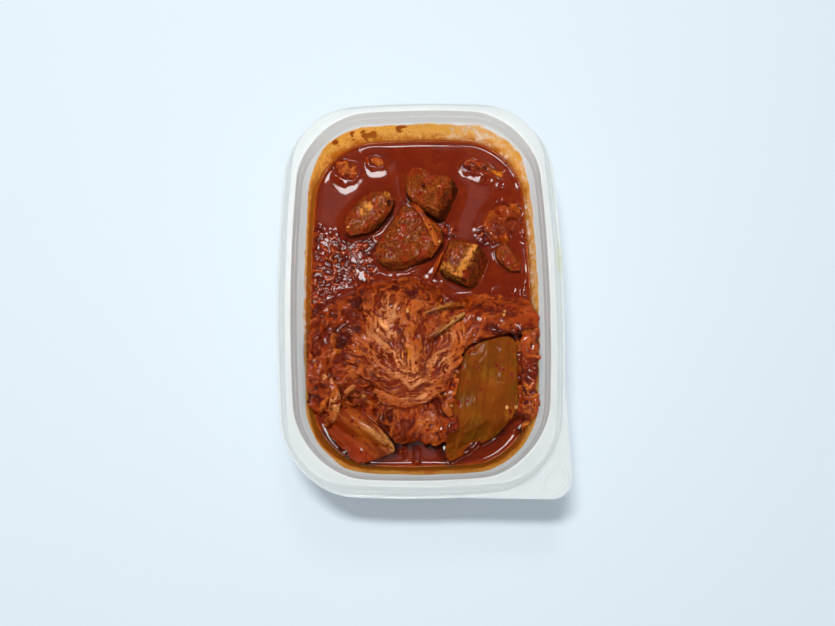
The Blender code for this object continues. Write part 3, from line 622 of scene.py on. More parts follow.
def wall_at(heights):
    """The inner wall's inset from the lip and its corner radius, at heights."""
    share = np.clip((WALL_HEAD[1] - heights) / (WALL_HEAD[1] - WALL_FOOT[1]), 0.0, 1.0)
    inset = WALL_HEAD[0] + (WALL_FOOT[0] - WALL_HEAD[0]) * share
    radius = WALL_HEAD[2] + (WALL_FOOT[2] - WALL_HEAD[2]) * share
    return inset, radius


def rounded_profile(rings):
    """Replace each inner corner of a profile by a small arc."""
    knots = [Vector(ring) for ring in rings]
    result = [knots[0]]
    for before, knot, after in zip(knots, knots[1:], knots[2:]):
        reach_in = min(TRAY_FILLET / (before - knot).xy.length, TRAY_FILLET_SHARE)
        reach_out = min(TRAY_FILLET / (after - knot).xy.length, TRAY_FILLET_SHARE)
        start = knot.lerp(before, reach_in)
        end = knot.lerp(after, reach_out)
        for step in range(TRAY_FILLET_STEPS + 1):
            share = step / TRAY_FILLET_STEPS
            result.append(start.lerp(knot, share).lerp(knot.lerp(end, share), share))
    return result + [knots[-1]]


def loft(bm, loops):
    """Skin closed loops of equal length, and close both ends."""
    rings = [[bm.verts.new(point) for point in loop] for loop in loops]
    for lower, upper in zip(rings, rings[1:]):
        count = len(lower)
        for index in range(count):
            after = (index + 1) % count
            bm.faces.new((lower[index], lower[after], upper[after], upper[index]))
    bm.faces.new(list(reversed(rings[0])))
    bm.faces.new(rings[-1])


def closed_curve(points, count):
    """Sample a smooth closed curve through the points at equal steps along it."""
    knots = np.array(points)
    total = len(knots)
    share = np.linspace(0.0, 1.0, CURVE_STEPS, endpoint=False)[:, None]
    fine = []
    for index in range(total):
        p0, p1, p2, p3 = (knots[(index + shift) % total] for shift in (-1, 0, 1, 2))
        square = 2.0 * p0 - 5.0 * p1 + 4.0 * p2 - p3
        cube = 3.0 * p1 - p0 - 3.0 * p2 + p3
        fine.append(0.5 * (2.0 * p1 + (p2 - p0) * share + square * share ** 2 + cube * share ** 3))
    return even_steps(np.concatenate(fine), count)


def even_steps(loop, count):
    """Points at equal steps along a closed loop."""
    closed = np.vstack([loop, loop[:1]])
    lengths = np.concatenate([[0.0], np.cumsum(np.linalg.norm(np.diff(closed, axis=0), axis=1))])
    places = np.linspace(0.0, lengths[-1], count, endpoint=False)
    return np.stack([np.interp(places, lengths, closed[:, axis]) for axis in range(loop.shape[1])], axis=1)


def unite(item, others):
    """Join helpers to an object with Boolean unions, and remove them."""
    for other in others:
        modifier = item.modifiers.new("union", "BOOLEAN")
        modifier.operation = "UNION"
        modifier.solver = "EXACT"
        modifier.object = other
        apply_modifiers(item)
        bpy.data.objects.remove(other, do_unlink=True)


def make_tab():
    """The flat tab on the lip at the near right corner."""
    points = [TAB_RIGHT_START]
    for step in range(TAB_CORNER_STEPS + 1):
        angle = math.radians(-90.0 * step / TAB_CORNER_STEPS)
        points.append((TAB_CORNER_CENTRE[0] + TAB_CORNER_RADIUS * math.cos(angle),
                       TAB_CORNER_CENTRE[1] + TAB_CORNER_RADIUS * math.sin(angle)))
    points.append(TAB_BOTTOM_END)
    points = [(x, y + FRAME_SHIFT_Y) for x, y in points]
    inner = [point for point in tray_outline(TAB_INSET, TRAY_OVER[0][2] - TAB_INSET)
             if point[0] > TAB_BOTTOM_END[0] and point[1] < TAB_RIGHT_START[1]]
    inner.sort(key=lambda point: math.atan2(point[1], point[0]))
    bm = bmesh.new()
    face = bm.faces.new([bm.verts.new((x, y, LIP_UNDER)) for x, y in points + inner])
    extruded = bmesh.ops.extrude_face_region(bm, geom=[face])
    moved = [item for item in extruded["geom"] if isinstance(item, bmesh.types.BMVert)]
    bmesh.ops.translate(bm, vec=(0.0, 0.0, TAB_THICKNESS), verts=moved)
    return mesh_object("tab", bm)


def make_tab_rib():
    """The raised rib along a rounded triangle on the tab."""
    path = closed_curve(TAB_RIB_CORNERS, TAB_RIB_STEPS)
    path[:, 1] += FRAME_SHIFT_Y
    along = np.roll(path, -1, axis=0) - np.roll(path, 1, axis=0)
    along /= np.linalg.norm(along, axis=1, keepdims=True)
    across = np.stack([along[:, 1], -along[:, 0]], axis=1) * TAB_RIB_HALF_WIDTH
    bm = bmesh.new()
    rings = []
    for point, side in zip(path, across):
        rings.append([bm.verts.new((*(point + side * share), LIP_TOP + rise))
                      for share, rise in TAB_RIB_PROFILE])
    for ring, following in zip(rings, rings[1:] + rings[:1]):
        for corner in range(len(TAB_RIB_PROFILE)):
            after = (corner + 1) % len(TAB_RIB_PROFILE)
            bm.faces.new((ring[corner], ring[after], following[after], following[corner]))
    return mesh_object("tab_rib", bm)


# Colours of smears, of the thick wet band, of the food painted on the outer wall where it would show
# through, and of a tint on the lip
SMEAR_COLOUR = srgb(150, 58, 10)
WET_COLOUR = srgb(150, 54, 8)
SEEN_THROUGH_COLOUR = srgb(160, 76, 46)
TINT_COLOUR = srgb(206, 204, 128)


def tray_finish(settings):
    finish = Finish("tray_plastic", IOR=1.49, Coat_Roughness=0.15, Subsurface_Weight=0.7,
                    Subsurface_Scale=0.006)
    finish.shader.inputs["Subsurface Radius"].default_value = (1.0, 1.0, 1.0)
    inside = finish.attribute("inside")
    strength = finish.attribute("strength")
    low = finish.attribute("low")
    streaks = finish.noise(3.2, 4.0, 0.65, 0.8, (1.0, 1.0, 0.55))
    grain = finish.noise(0.9, 3.0, 0.7)
    patch = finish.noise(6.5, 3.0, 0.6, 0.5)
    film = (inside * (strength * 1.6 + streaks * 0.9 + patch * 0.9 - 0.95)).step(0.02, 0.68)
    deep = (low * 0.42 + strength * 0.55 + patch * 0.8 + streaks * 0.5 - 0.98).step(0.04, 0.5) * film
    specks = finish.cells(1.15)
    sparse = finish.noise(6.0, 1.0)
    speck = (1.0 - specks.step(0.1, 0.24)) * (inside * 1.6 * strength * sparse).step(0.16, 0.5)
    colour = finish.mix(film, tuple(settings.plastic), tuple(settings.stain))
    colour = finish.mix(deep, colour, tuple(settings.deep_stain))
    smear = finish.attribute("smear")
    smeared = (smear * (grain * 1.2 + streaks * 0.9)).step(0.42, 0.8)
    colour = finish.mix(smeared, colour, SMEAR_COLOUR)
    # Painted show-through: the food's colour on the outer wall, low down, standing in for light through the
    # plastic
    seen = finish.attribute("seen") * (0.5 + patch * 0.45)
    colour = finish.mix(seen.clamped(), colour, SEEN_THROUGH_COLOUR)
    tint = finish.attribute("tint") * finish.noise(8.0, 2.0)
    colour = finish.mix(tint, colour, TINT_COLOUR)
    colour = finish.mix(speck, colour, tuple(settings.speck))
    wet = (finish.attribute("wet") * (0.75 + streaks * 0.6)).clamped()
    colour = finish.mix(wet, colour, WET_COLOUR)
    finish.set("Base Color", colour)
    finish.set("Roughness", settings.roughness - film * 0.14 + grain * 0.05)
    finish.set("Coat Weight", film * 0.6)
    finish.bump(grain * 0.4 + film * 0.6 + speck * 1.5, 0.06)
    return finish.material


# How strong the film on the wall is: place in plan, reach and strength
WALL_STAINS = (
    ((-30.0, 78.0), 26.0, 0.62), ((-2.0, 80.0), 18.0, 0.52), ((28.0, 78.0), 15.0, 0.34),
    ((48.0, 58.0), 16.0, 0.46), ((53.0, 30.0), 24.0, 0.38), ((55.0, -10.0), 22.0, 0.42),
    ((50.0, -50.0), 22.0, 0.55), ((0.0, -80.0), 60.0, 0.7), ((-50.0, -50.0), 22.0, 0.5),
    ((-54.0, -8.0), 20.0, 0.26), ((-52.0, 24.0), 14.0, 0.5), ((-52.0, 50.0), 20.0, 0.62),
)
# Dark smears at the top of the wall: place in plan and reach
WALL_SMEARS = (
    ((-38.1, 72.0), 1.5), ((-30.4, 75.6), 1.0), ((-24.4, 76.4), 1.7), ((-20.6, 76.8), 1.4),
    ((-7.7, 78.6), 1.8), ((-4.6, 79.4), 1.1), ((3.7, 79.5), 1.3), ((7.6, 79.8), 0.8),
    ((14.0, 79.2), 0.9), ((-47.0, 66.0), 1.4), ((-43.4, 68.6), 0.9), ((-52.5, 20.7), 1.3),
    ((-53.0, 31.0), 0.8),
)
# The faint yellow tint on the right lip: place in plan and reach
LIP_TINT = ((60.5, 14.0), 7.0)
# Heights at which the film and the thick wet band on the wall end, and what each side adds
FILM_TOP = 29.0
FILM_TOP_FAR = 3.4
FILM_TOP_LEFT = -1.2
FILM_TOP_NEAR = 1.4
WET_TOP = 22.5
WET_TOP_LEFT = 3.2
WET_TOP_NEAR = 3.2


class KIMCHI_OT_tray(bpy.types.Operator):
    """Make the tray with its rounded rim, tab and stained wall."""

    bl_idname = "kimchi.make_tray"
    bl_label = "Tray"

    def execute(self, context):
        foot, head = TRAY_UNDER[2:4]
        under = TRAY_UNDER[:3] + self.wall_rings(foot, head, OUTER_RING_HEIGHTS) + TRAY_UNDER[3:]
        inner_rings = self.wall_rings(WALL_HEAD, WALL_FOOT, INNER_RING_HEIGHTS)
        over = TRAY_OVER[:-3] + inner_rings + TRAY_OVER[-3:]
        bm = bmesh.new()
        loft(bm, [[(x, y, height) for x, y in tray_outline(inset, radius)]
                  for inset, height, radius in rounded_profile(under + over)])
        tray = mesh_object("tray_shell", bm)
        unite(tray, [make_tab(), make_tab_rib()])
        skin = Skin(tray)
        self.store_masks(skin)
        skin.finish(tray_finish(context.scene.kimchi_tray), "tray", "tray")
        tray.data.set_sharp_from_angle(angle=math.radians(TRAY_SHARP_DEGREES))
        return {"FINISHED"}

    def wall_rings(self, start, end, heights):
        """Rings of a wall at heights between two of its rings."""
        rings = []
        for height in heights:
            share = (start[1] - height) / (start[1] - end[1])
            rings.append(tuple(first + (last - first) * share for first, last in zip(start, end)))
        return tuple(rings)

    def store_masks(self, skin):
        """Keep where the film, the wet band, smears and tint lie, and where the food's show-through is
        painted.
        """
        depth = wall_inset(skin.points)
        heights = skin.points[:, 2]
        left = smooth_step(-30.0, -48.0, skin.points[:, 0]) * smooth_step(66.0, 40.0, skin.points[:, 1])
        rough_edge = 1.2 * noise(skin.points, 9.0, 60.0) + 0.2 * noise(skin.points, 3.0, 61.0)
        film_top = FILM_TOP + FILM_TOP_LEFT * left + rough_edge
        film_top += FILM_TOP_FAR * smooth_step(50.0, 72.0, skin.points[:, 1])
        film_top += FILM_TOP_NEAR * smooth_step(-55.0, -72.0, skin.points[:, 1])
        wet_top = WET_TOP + WET_TOP_LEFT * left + 0.5 * rough_edge
        wet_top += WET_TOP_NEAR * smooth_step(-50.0, -70.0, skin.points[:, 1])
        away = skin.points[:, :2] / np.maximum(np.linalg.norm(skin.points[:, :2], axis=1), 1.0)[:, None]
        facing_out = (skin.directions()[:, :2] * away).sum(axis=1)
        inner = smooth_step(8.2, 9.2, depth) * smooth_step(0.3, 0.0, facing_out)
        outer = smooth_step(0.3, 0.6, facing_out) * smooth_step(7.9, 8.3, depth)
        inside = inner * smooth_step(film_top + 0.7, film_top - 0.7, heights)
        wet = inner * smooth_step(wet_top + 1.1, wet_top - 0.9, heights)
        low = inside * smooth_step(31.0, 22.5, heights)
        seen = outer * smooth_step(24.5, 20.0, heights - rough_edge)
        smear = spots(warped(skin.points, 2.0, 1.5), WALL_SMEARS) * inside
        smear *= smooth_step(33.6, 32.6, heights)
        tint = spots(skin.points, (LIP_TINT,)) * smooth_step(4.0, 2.5, depth)
        strength = self.stain_strength(skin.points)
        skin.store(inside=inside, strength=strength, low=low, wet=wet, seen=seen, smear=smear, tint=tint)

    def stain_strength(self, points):
        """How strong the film is, as a mean of the stains near each point."""
        strength = np.zeros(len(points))
        weight = np.full(len(points), 0.001)
        for (x, y), reach, value in WALL_STAINS:
            near = np.exp(-((points[:, 0] - x) ** 2 + (points[:, 1] - y) ** 2) / reach ** 2)
            strength += near * value
            weight += near
        return strength / weight


def food_finish(name, crease, body, pale, film, mark, roughness=0.36, coat=0.9, bump=0.16):
    """A wet finish: creases painted dark, partly as shade, a dyed body, pale crests, sauce film and marks,
    all finely mottled.
    """
    finish = Finish(name, IOR=1.4, Coat_Roughness=0.05, Coat_IOR=1.3, Specular_IOR_Level=0.04)
    fine = finish.noise(0.8, 4.0, 0.76)
    blotch = finish.noise(3.4, 4.0, 0.62, 0.6)
    relief = finish.attribute("relief")
    tone = finish.attribute("tone")
    # Partly painted shade: the lower the relief, the nearer the colour comes to the crease colour
    depth = (relief * 0.8 + fine * 0.9 + blotch * 0.7 - 0.86).step(0.04, 0.56)
    colour = finish.mix(depth, crease, body)
    bare = finish.attribute("pale") * (relief * 0.7 + fine * 1.1 + blotch * 0.3 - 0.86).step(0.06, 0.56)
    colour = finish.mix(bare, colour, pale)
    warm = (tone + blotch - 0.7).step(0.1, 0.5) * 0.4
    colour = finish.mix(warm, colour, film)
    specks = finish.cells(0.95)
    speck = (1.0 - specks.step(0.16, 0.36)) * finish.noise(2.6, 2.0).step(0.46, 0.62)
    colour = finish.mix(speck * 0.75, colour, crease)
    colour = finish.mix(finish.attribute("mark"), colour, mark)
    wet = finish.attribute("film")
    colour = finish.mix(wet, colour, film)
    finish.set("Base Color", colour)
    finish.set("Roughness", roughness + (1.0 - fine) * 0.22 - wet * 0.12)
    finish.set("Coat Weight", (coat - bare * 0.35 + wet * 0.2).clamped())
    finish.bump(fine * 1.3 + blotch * 0.4 - speck * 0.35, bump)
    return finish.material


def full_range(values):
    """Stretch values so that nearly all of the span from 0 to 1 is used."""
    low, high = np.percentile(values, (4, 96))
    return np.clip((values - low) / (high - low), 0.0, 1.0)


# Heights between which the film of sauce on a piece fades
DEEP_DIP = (22.1, 23.6)
SHALLOW_DIP = (21.7, 22.7)
PORK_DIP = (22.2, 23.6)


def sauce_film(points, low, high):
    """1 where a piece dips into the sauce."""
    return smooth_step(high, low, points[:, 2] + 0.7 * noise(points, 2.5))


# Widths of the broadest folds, in millimetres
LEAF_FOLD_WIDTH = 6.5
PULP_FOLD_WIDTH = 5.5


def shaded_pocket_mask(points):
    """1 in the pockets between the leaves, which are pressed in and painted dark with shade."""
    return spots(warped(points, 3.0, 1.6, 50.0), SHADED_POCKETS)


def leaf_form(points, fold, seed):
    """Folds and wrinkles of a soft leaf, drawn out away from the crown.

    Gives heights in millimetres, and how high each point is, from 0 to 1.
    """
    bent = warped(points, 6.0, 2.6, seed)
    turn, radius = flow_round(bent, CROWN_MIDDLE)
    flow = np.stack([turn * 24.0, radius * 0.4, points[:, 2] * 0.4], axis=1)
    folds = creases(flow, LEAF_FOLD_WIDTH, seed)
    wrinkles = creases(flow, LEAF_FOLD_WIDTH * 0.36, seed + 3.1)
    threads = creases(flow, LEAF_FOLD_WIDTH * 0.18, seed + 5.7)
    lumps = noise(points, 1.5, seed)
    heights = fold * (1.3 * (folds - 0.6) + 0.5 * (wrinkles - 0.6) + 0.2 * (threads - 0.6)) + 0.12 * lumps
    relief = 0.42 * folds + 0.32 * wrinkles + 0.16 * threads + 0.1 * (lumps + 0.5)
    return heights, relief


def pulp_form(points, fold, seed):
    """Crumpled lumps without a direction, for the small pieces under the leaves."""
    width = PULP_FOLD_WIDTH
    bent = warped(points, width, 2.0, seed)
    folds = creases(bent, (width, width, width * 2.0), seed)
    wrinkles = creases(bent, (width * 0.42, width * 0.42, width), seed + 3.1)
    lumps = noise(points, 1.5, seed)
    heights = fold * (folds - 0.62) + 0.42 * fold * (wrinkles - 0.6) + 0.13 * lumps
    relief = 0.52 * folds + 0.36 * wrinkles + 0.12 * (lumps + 0.5)
    return heights, relief


def flow_round(points, pole):
    """Distance along circles round a pole, and distance from it."""
    x = points[:, 0] - pole[0]
    y = points[:, 1] - pole[1]
    radius = np.hypot(x, y)
    return np.arctan2(x, y * np.sign(y.mean() + 0.001)), radius


def crown_form(points, fold):
    """Wrinkles that fan out at the back of the crown, and sweep round it at the front."""
    bent = warped(points, 9.0, 3.0, 2.0)
    bent = warped(bent, 2.6, 0.6, 8.0)
    turn, radius = flow_round(bent, FAN_POLE)
    fan = np.stack([turn * 20.0, radius * 0.17, points[:, 2] * 0.2], axis=1)
    turn, radius = flow_round(bent, SWEEP_POLE)
    sweep = np.stack([radius, turn * 5.0, points[:, 2] * 0.2 + 30.0], axis=1)
    front = smooth_step(3.0, -4.0, points[:, 1] - FAN_ENDS_AT + 5.0 * noise(points, 9.0))

    def lines(size, shift):
        return creases(fan, size, shift) * (1.0 - front) + creases(sweep, size, shift) * front

    broad = lines(4.4, 0.0)
    fine = lines(1.7, 5.0)
    thread = lines(0.85, 2.0)
    lumps = noise(points, 1.3)
    heights = fold * (1.2 * (broad - 0.6) + 0.55 * (fine - 0.6) + 0.3 * (thread - 0.6)) + 0.14 * lumps
    relief = 0.3 * broad + 0.3 * fine + 0.24 * thread + 0.16 * (lumps + 0.5)
    return heights, relief


def stalk_form(points, along, seed):
    """Long fibres that run along a stalk, on broad swells."""
    direction = np.array([*along, 0.0]) / math.hypot(*along)
    across = np.array([direction[1], -direction[0], 0.0])
    lines = np.stack([points @ across, (points @ direction) * 0.09, points[:, 2] * 0.2], axis=1)
    fibres = noise(lines, 1.5, seed)
    threads = creases(lines, 0.8, seed + 4.0)
    swell = noise(points, 8.0, seed)
    heights = 0.1 * fibres + 0.08 * (threads - 0.6) + 0.14 * swell
    relief = 0.62 + 0.2 * fibres + 0.12 * threads + 0.2 * swell
    return heights, relief


class LeafPiece:
    """How one cabbage piece is finished.

    A piece with fibres has the direction along them, and one without is ruffled and folded.
    """

    def __init__(self, node, finish, slot, voxel, fold, along=None, pale=0.0, rounds=4, dip=DEEP_DIP):
        self.node = node
        self.finish = finish
        self.slot = slot
        self.voxel = voxel
        self.fold = fold
        self.along = along
        self.pale = pale
        self.rounds = rounds
        self.dip = dip


LEAF_PIECES = (
    LeafPiece("crown_leaf", "crown", "crown", 0.34, 1.0, pale=1.0, rounds=5),
    LeafPiece("leaf_back", "leaf", "leaf", 0.46, 1.1, pale=0.3),
    LeafPiece("leaf_left", "leaf", "leaf", 0.46, 1.2, pale=0.35),
    LeafPiece("leaf_front", "leaf", "leaf", 0.46, 1.2, pale=0.4),
    LeafPiece("sheet_upper_right", "leaf", "leaf", 0.46, 0.8, pale=0.15),
    LeafPiece("strip_right", "leaf", "leaf", 0.46, 1.0, pale=0.8),
    LeafPiece("leaf_lump_right", "leaf", "leaf", 0.42, 1.7, pale=0.3, dip=SHALLOW_DIP),
    LeafPiece("sunk_leaf_right", "leaf", "leaf", 0.42, 1.2, pale=0.5, dip=SHALLOW_DIP),
    LeafPiece("sunk_leaf_left", "leaf", "leaf", 0.42, 1.2, pale=0.5, dip=SHALLOW_DIP),
    LeafPiece("sunk_leaf_back", "leaf", "leaf", 0.42, 0.9, pale=0.4, dip=SHALLOW_DIP),
    LeafPiece("curl_left", "curl", "leaf", 0.36, 0.16, pale=1.0),
    LeafPiece("curl_arch", "curl", "leaf", 0.36, 0.12, pale=0.9),
    LeafPiece("stalk_broad", "stalk", "stalk", 0.46, 0.0, along=(0.14, 1.0), pale=0.6),
    LeafPiece("stalk_corner", "stalk_red", "stalk", 0.46, 0.0, along=(1.0, -1.0), pale=0.5),
    LeafPiece("rib_upper", "rib", "rib", 0.3, 0.0, along=(1.0, 0.3), pale=0.6, rounds=3),
    LeafPiece("rib_lower", "rib", "rib", 0.3, 0.0, along=(1.0, 0.7), pale=0.8, rounds=3),
    LeafPiece("rib_front", "rib_red", "rib", 0.3, 0.0, along=(0.5, -1.0), pale=0.15, rounds=3),
    LeafPiece("shred_orange", "shred", "shred", 0.3, 0.0, along=(0.6, -1.0), pale=0.5, rounds=3),
    LeafPiece("shred_thin", "shred", "shred", 0.3, 0.0, along=(0.4, 1.0), pale=0.2, rounds=3),
)


def leaf_finishes(leaf):
    """The finishes of the cabbage, by name."""
    crease = tuple(leaf.crease)
    film = srgb(134, 40, 6)
    yellow = srgb(196, 112, 16)
    body = tuple(leaf.body)
    rib = tuple(leaf.rib)
    return {
        "crown": food_finish("crown_leaf", srgb(98, 26, 4), tuple(leaf.crown), tuple(leaf.pale), film,
                             yellow, 0.4, 0.8, 0.24),
        "leaf": food_finish("dyed_leaf", crease, body, srgb(226, 136, 56), film, yellow, bump=0.24),
        "heap": food_finish("heap_leaf", crease, srgb(152, 56, 6), srgb(220, 128, 46), film, yellow,
                            bump=0.24),
        "curl": food_finish("curled_leaf", crease, srgb(172, 84, 22), srgb(224, 160, 98), film, yellow),
        "stalk": food_finish("green_stalk", srgb(98, 52, 8), tuple(leaf.stalk), tuple(leaf.pale_stalk),
                             srgb(140, 56, 10), yellow, 0.46, 0.14, 0.08),
        "stalk_red": food_finish("dyed_stalk", srgb(112, 42, 8), srgb(160, 80, 22), srgb(206, 146, 82),
                                 film, yellow, 0.34, 0.8, 0.08),
        "rib": food_finish("pale_rib", srgb(130, 62, 14), rib, srgb(196, 146, 84), film, yellow, 0.36,
                           0.8, 0.08),
        "rib_red": food_finish("dyed_rib", srgb(112, 40, 8), srgb(156, 70, 16), rib, film, yellow, 0.36,
                               0.8, 0.08),
        "shred": food_finish("orange_shred", srgb(120, 40, 6), srgb(176, 80, 16), srgb(206, 124, 52), film,
                             yellow, 0.34, 0.8, 0.08),
    }


class KIMCHI_OT_leaves(bpy.types.Operator):
    """Make the cabbage leaves, stalks, ribs, curls and shreds."""

    bl_idname = "kimchi.make_leaves"
    bl_label = "Leaves"

    def execute(self, context):
        settings = context.scene.kimchi_leaf
        finishes = leaf_finishes(settings)
        for index, piece in enumerate(LEAF_PIECES):
            self.make_piece(piece, 3.7 * index, finishes[piece.finish], settings.fold)
        self.make_heap(finishes["heap"], settings.fold)
        return {"FINISHED"}

    def make_piece(self, piece, seed, material, fold):
        skin = dense_copy(piece.node, piece.voxel)
        skin.relax(piece.rounds)
        if not piece.along:
            skin.ruffle(min(piece.fold, 1.0) * 1.3, 5.0, seed)
        if piece.node == "crown_leaf":
            heights, relief = crown_form(skin.points, fold)
        elif piece.along:
            heights, relief = stalk_form(skin.points, piece.along, seed)
        else:
            heights, relief = leaf_form(skin.points, fold * piece.fold, seed)
        shaded_pocket = shaded_pocket_mask(skin.points)
        # Painted shade: the pockets lose their relief, so they take the dark crease colour
        relief = full_range(relief) * (1.0 - shaded_pocket)
        skin.push(heights - POCKET_DEPTH * shaded_pocket)
        skin.keep_off_wall()
        tone = 0.5 + 0.5 * noise(skin.points, 11.0, seed + 6.0)
        skin.store(relief=relief, tone=tone, **self.colour_masks(piece, skin.points, relief, seed))
        skin.finish(material, piece.slot, piece.node)

    def colour_masks(self, piece, points, relief, seed):
        """Where a piece is pale, marked or covered by sauce."""
        pale = piece.pale * smooth_step(-0.25, 0.5, noise(points, 7.0, seed + 1.0))
        mark = np.zeros(len(points))
        film = sauce_film(points, *piece.dip)
        if piece.node == "crown_leaf":
            pale = 0.1 + 0.9 * spots(warped(points, 6.0, 2.5, 3.0), CROWN_PALE)
            mark = spots(points, CROWN_YELLOW) * smooth_step(0.3, 0.6, relief)
        if piece.node == "sunk_leaf_right":
            mark = spots(points, (SUNK_ORANGE,))
        if piece.node == "stalk_corner":
            inwards = (points[:, :2] - CORNER_EDGE_START) @ CORNER_EDGE_NORMAL
            inwards = inwards + 1.2 * noise(points, 5.0)
            pale = smooth_step(4.4, 1.5, inwards) * smooth_step(-54.0, -60.0, points[:, 1])
            film = np.maximum(film, 0.85 * smooth_step(6.5, 12.0, inwards))
        return {"pale": pale, "mark": mark, "film": film}

    def make_heap(self, material, fold):
        skin = dense_copy("kimchi_heap", HEAP_VOXEL)
        skin.relax(3)
        heights, relief = pulp_form(skin.points, fold * 1.5, 40.0)
        shaded_pocket = shaded_pocket_mask(skin.points)
        # Painted shade: the pockets lose their relief, so they take the dark crease colour
        relief = full_range(relief) * (1.0 - shaded_pocket)
        lowest = smooth_step(21.0, 23.0, skin.points[:, 2])
        skin.push(heights * (0.3 + 0.7 * lowest) - POCKET_DEPTH * shaded_pocket)
        skin.keep_off_wall()
        skin.points[:, 0] = np.clip(skin.points[:, 0], -HEAP_HALF_WIDTH, HEAP_HALF_WIDTH)
        pale = 0.55 * smooth_step(0.0, 0.6, noise(skin.points, 6.0, 9.0))
        tone = 0.5 + 0.5 * noise(skin.points, 10.0, 12.0)
        skin.store(relief=relief, pale=pale, tone=tone, mark=np.zeros(len(relief)),
                   film=sauce_film(skin.points, *DEEP_DIP))
        skin.finish(material, "leaf", "kimchi_heap")


# Colours on the pork: chilli red, garlic, painted shade on its sides and in its seams, and the sauce on it
PORK_RED = srgb(140, 32, 5)
GARLIC_COLOUR = srgb(226, 176, 84)
PORK_SHADE = srgb(44, 14, 3)
PORK_FILM = srgb(136, 44, 8)


def pork_finish(settings):
    finish = Finish("braised_pork", IOR=1.4, Coat_Roughness=0.06, Coat_IOR=1.3, Specular_IOR_Level=0.04)
    relief = finish.attribute("relief")
    fine = finish.noise(0.8, 4.0, 0.75)
    fibre = finish.noise(0.7, 3.0, 0.65, 0.5, (1.0, 0.4, 0.6))
    blotch = finish.noise(4.0, 3.0, 0.6, 0.8)
    depth = (relief * 0.22 + fibre * 0.55 + fine * 0.75 - 0.46).step(0.0, 0.56)
    colour = finish.mix(depth, tuple(settings.dark), tuple(settings.meat))
    red = (blotch * 0.9 + fine * 0.4 - 0.3).step(0.28, 0.5) * 0.7
    colour = finish.mix(red, colour, PORK_RED)
    fat = finish.attribute("fat") * (fine * 0.6 + relief * 0.6 - 0.1).step(0.1, 0.6)
    colour = finish.mix(fat, colour, tuple(settings.fat))
    colour = finish.mix(finish.attribute("mark"), colour, GARLIC_COLOUR)
    colour = finish.mix(finish.attribute("shade") * 0.88, colour, PORK_SHADE)
    wet = finish.attribute("film")
    colour = finish.mix(wet, colour, PORK_FILM)
    finish.set("Base Color", colour)
    finish.set("Roughness", 0.36 + (1.0 - fine) * 0.25)
    finish.set("Coat Weight", (0.22 + wet * 0.5 + red * 0.3 - fat * 0.2).clamped())
    finish.bump(fine * 0.8 + fibre * 0.6, 0.16)
    return finish.material


class KIMCHI_OT_pork(bpy.types.Operator):
    """Make the five pieces of pork."""

    bl_idname = "kimchi.make_pork"
    bl_label = "Pork"

    def execute(self, context):
        settings = context.scene.kimchi_pork
        material = pork_finish(settings)
        for index, node in enumerate(PORK_NODES):
            skin = dense_copy(node, PORK_VOXEL)
            skin.relax(1)
            seed = 5.3 * index
            bent = warped(skin.points, 3.0, 0.8, seed)
            grain = noise(bent, (0.9, 1.6, 1.2), seed)
            pits = creases(bent, 3.4, seed + 2.0)
            seam = spots(warped(skin.points, 2.0, 0.8, seed), PORK_SEAMS)
            skin.push(settings.grain * (0.6 * grain + 0.35 * (pits - 0.6)) - 1.0 * seam)
            # Painted shade on the sides that turn away from above, and in the pressed-in seams
            shade = np.maximum(smooth_step(0.94, 0.5, skin.directions()[:, 2]), seam)
            fat = np.zeros(len(shade))
            mark = np.zeros(len(shade))
            if node == "pork_left":
                fat = spots(skin.points, PORK_LEFT_FAT)
            if node == "pork_right":
                fat = self.edge_fat(skin.points)
            if node == "pork_back":
                mark = spots(skin.points, (GARLIC_ON_PORK,))
            skin.store(relief=full_range(0.4 * grain + 0.25 * pits), fat=fat, mark=mark, shade=shade,
                       film=sauce_film(skin.points, *PORK_DIP))
            skin.finish(material, "pork", node)
        return {"FINISHED"}

    def edge_fat(self, points):
        """A mask of the pale fat along the edges of the right-hand cube."""
        nearest = np.full(len(points), 9.0)
        for start, end in zip(PORK_FAT_CORNERS, PORK_FAT_CORNERS[1:]):
            along = np.array(end) - np.array(start)
            away = points[:, :2] - np.array(start)
            share = np.clip(away @ along / (along @ along), 0.0, 1.0)
            nearest = np.minimum(nearest, np.linalg.norm(away - share[:, None] * along, axis=1))
        return 0.85 * smooth_step(2.9, 0.7, nearest + 1.0 * noise(points, 2.2))


def food_tree(items):
    """One search tree over the faces of all the pieces, in millimetres."""
    corners = []
    faces = []
    for item in items:
        skin = Skin(item)
        start = len(corners)
        corners += [tuple(point) for point in skin.points]
        faces += [[start + corner for corner in face.vertices] for face in item.data.polygons]
    return BVHTree.FromPolygons(corners, faces)


def fine_food():
    """The finished food pieces made so far."""
    return [item for item in bpy.data.objects if item.name.startswith("fine_")]


# Colours in the sauce: its darker clouds, the crests of pulp, chilli specks and shade
CLOUD_COLOUR = srgb(100, 24, 6)
PULP_CREST = srgb(168, 66, 18)
SAUCE_SPECK = srgb(92, 18, 4)
SAUCE_SHADE = srgb(34, 6, 2)


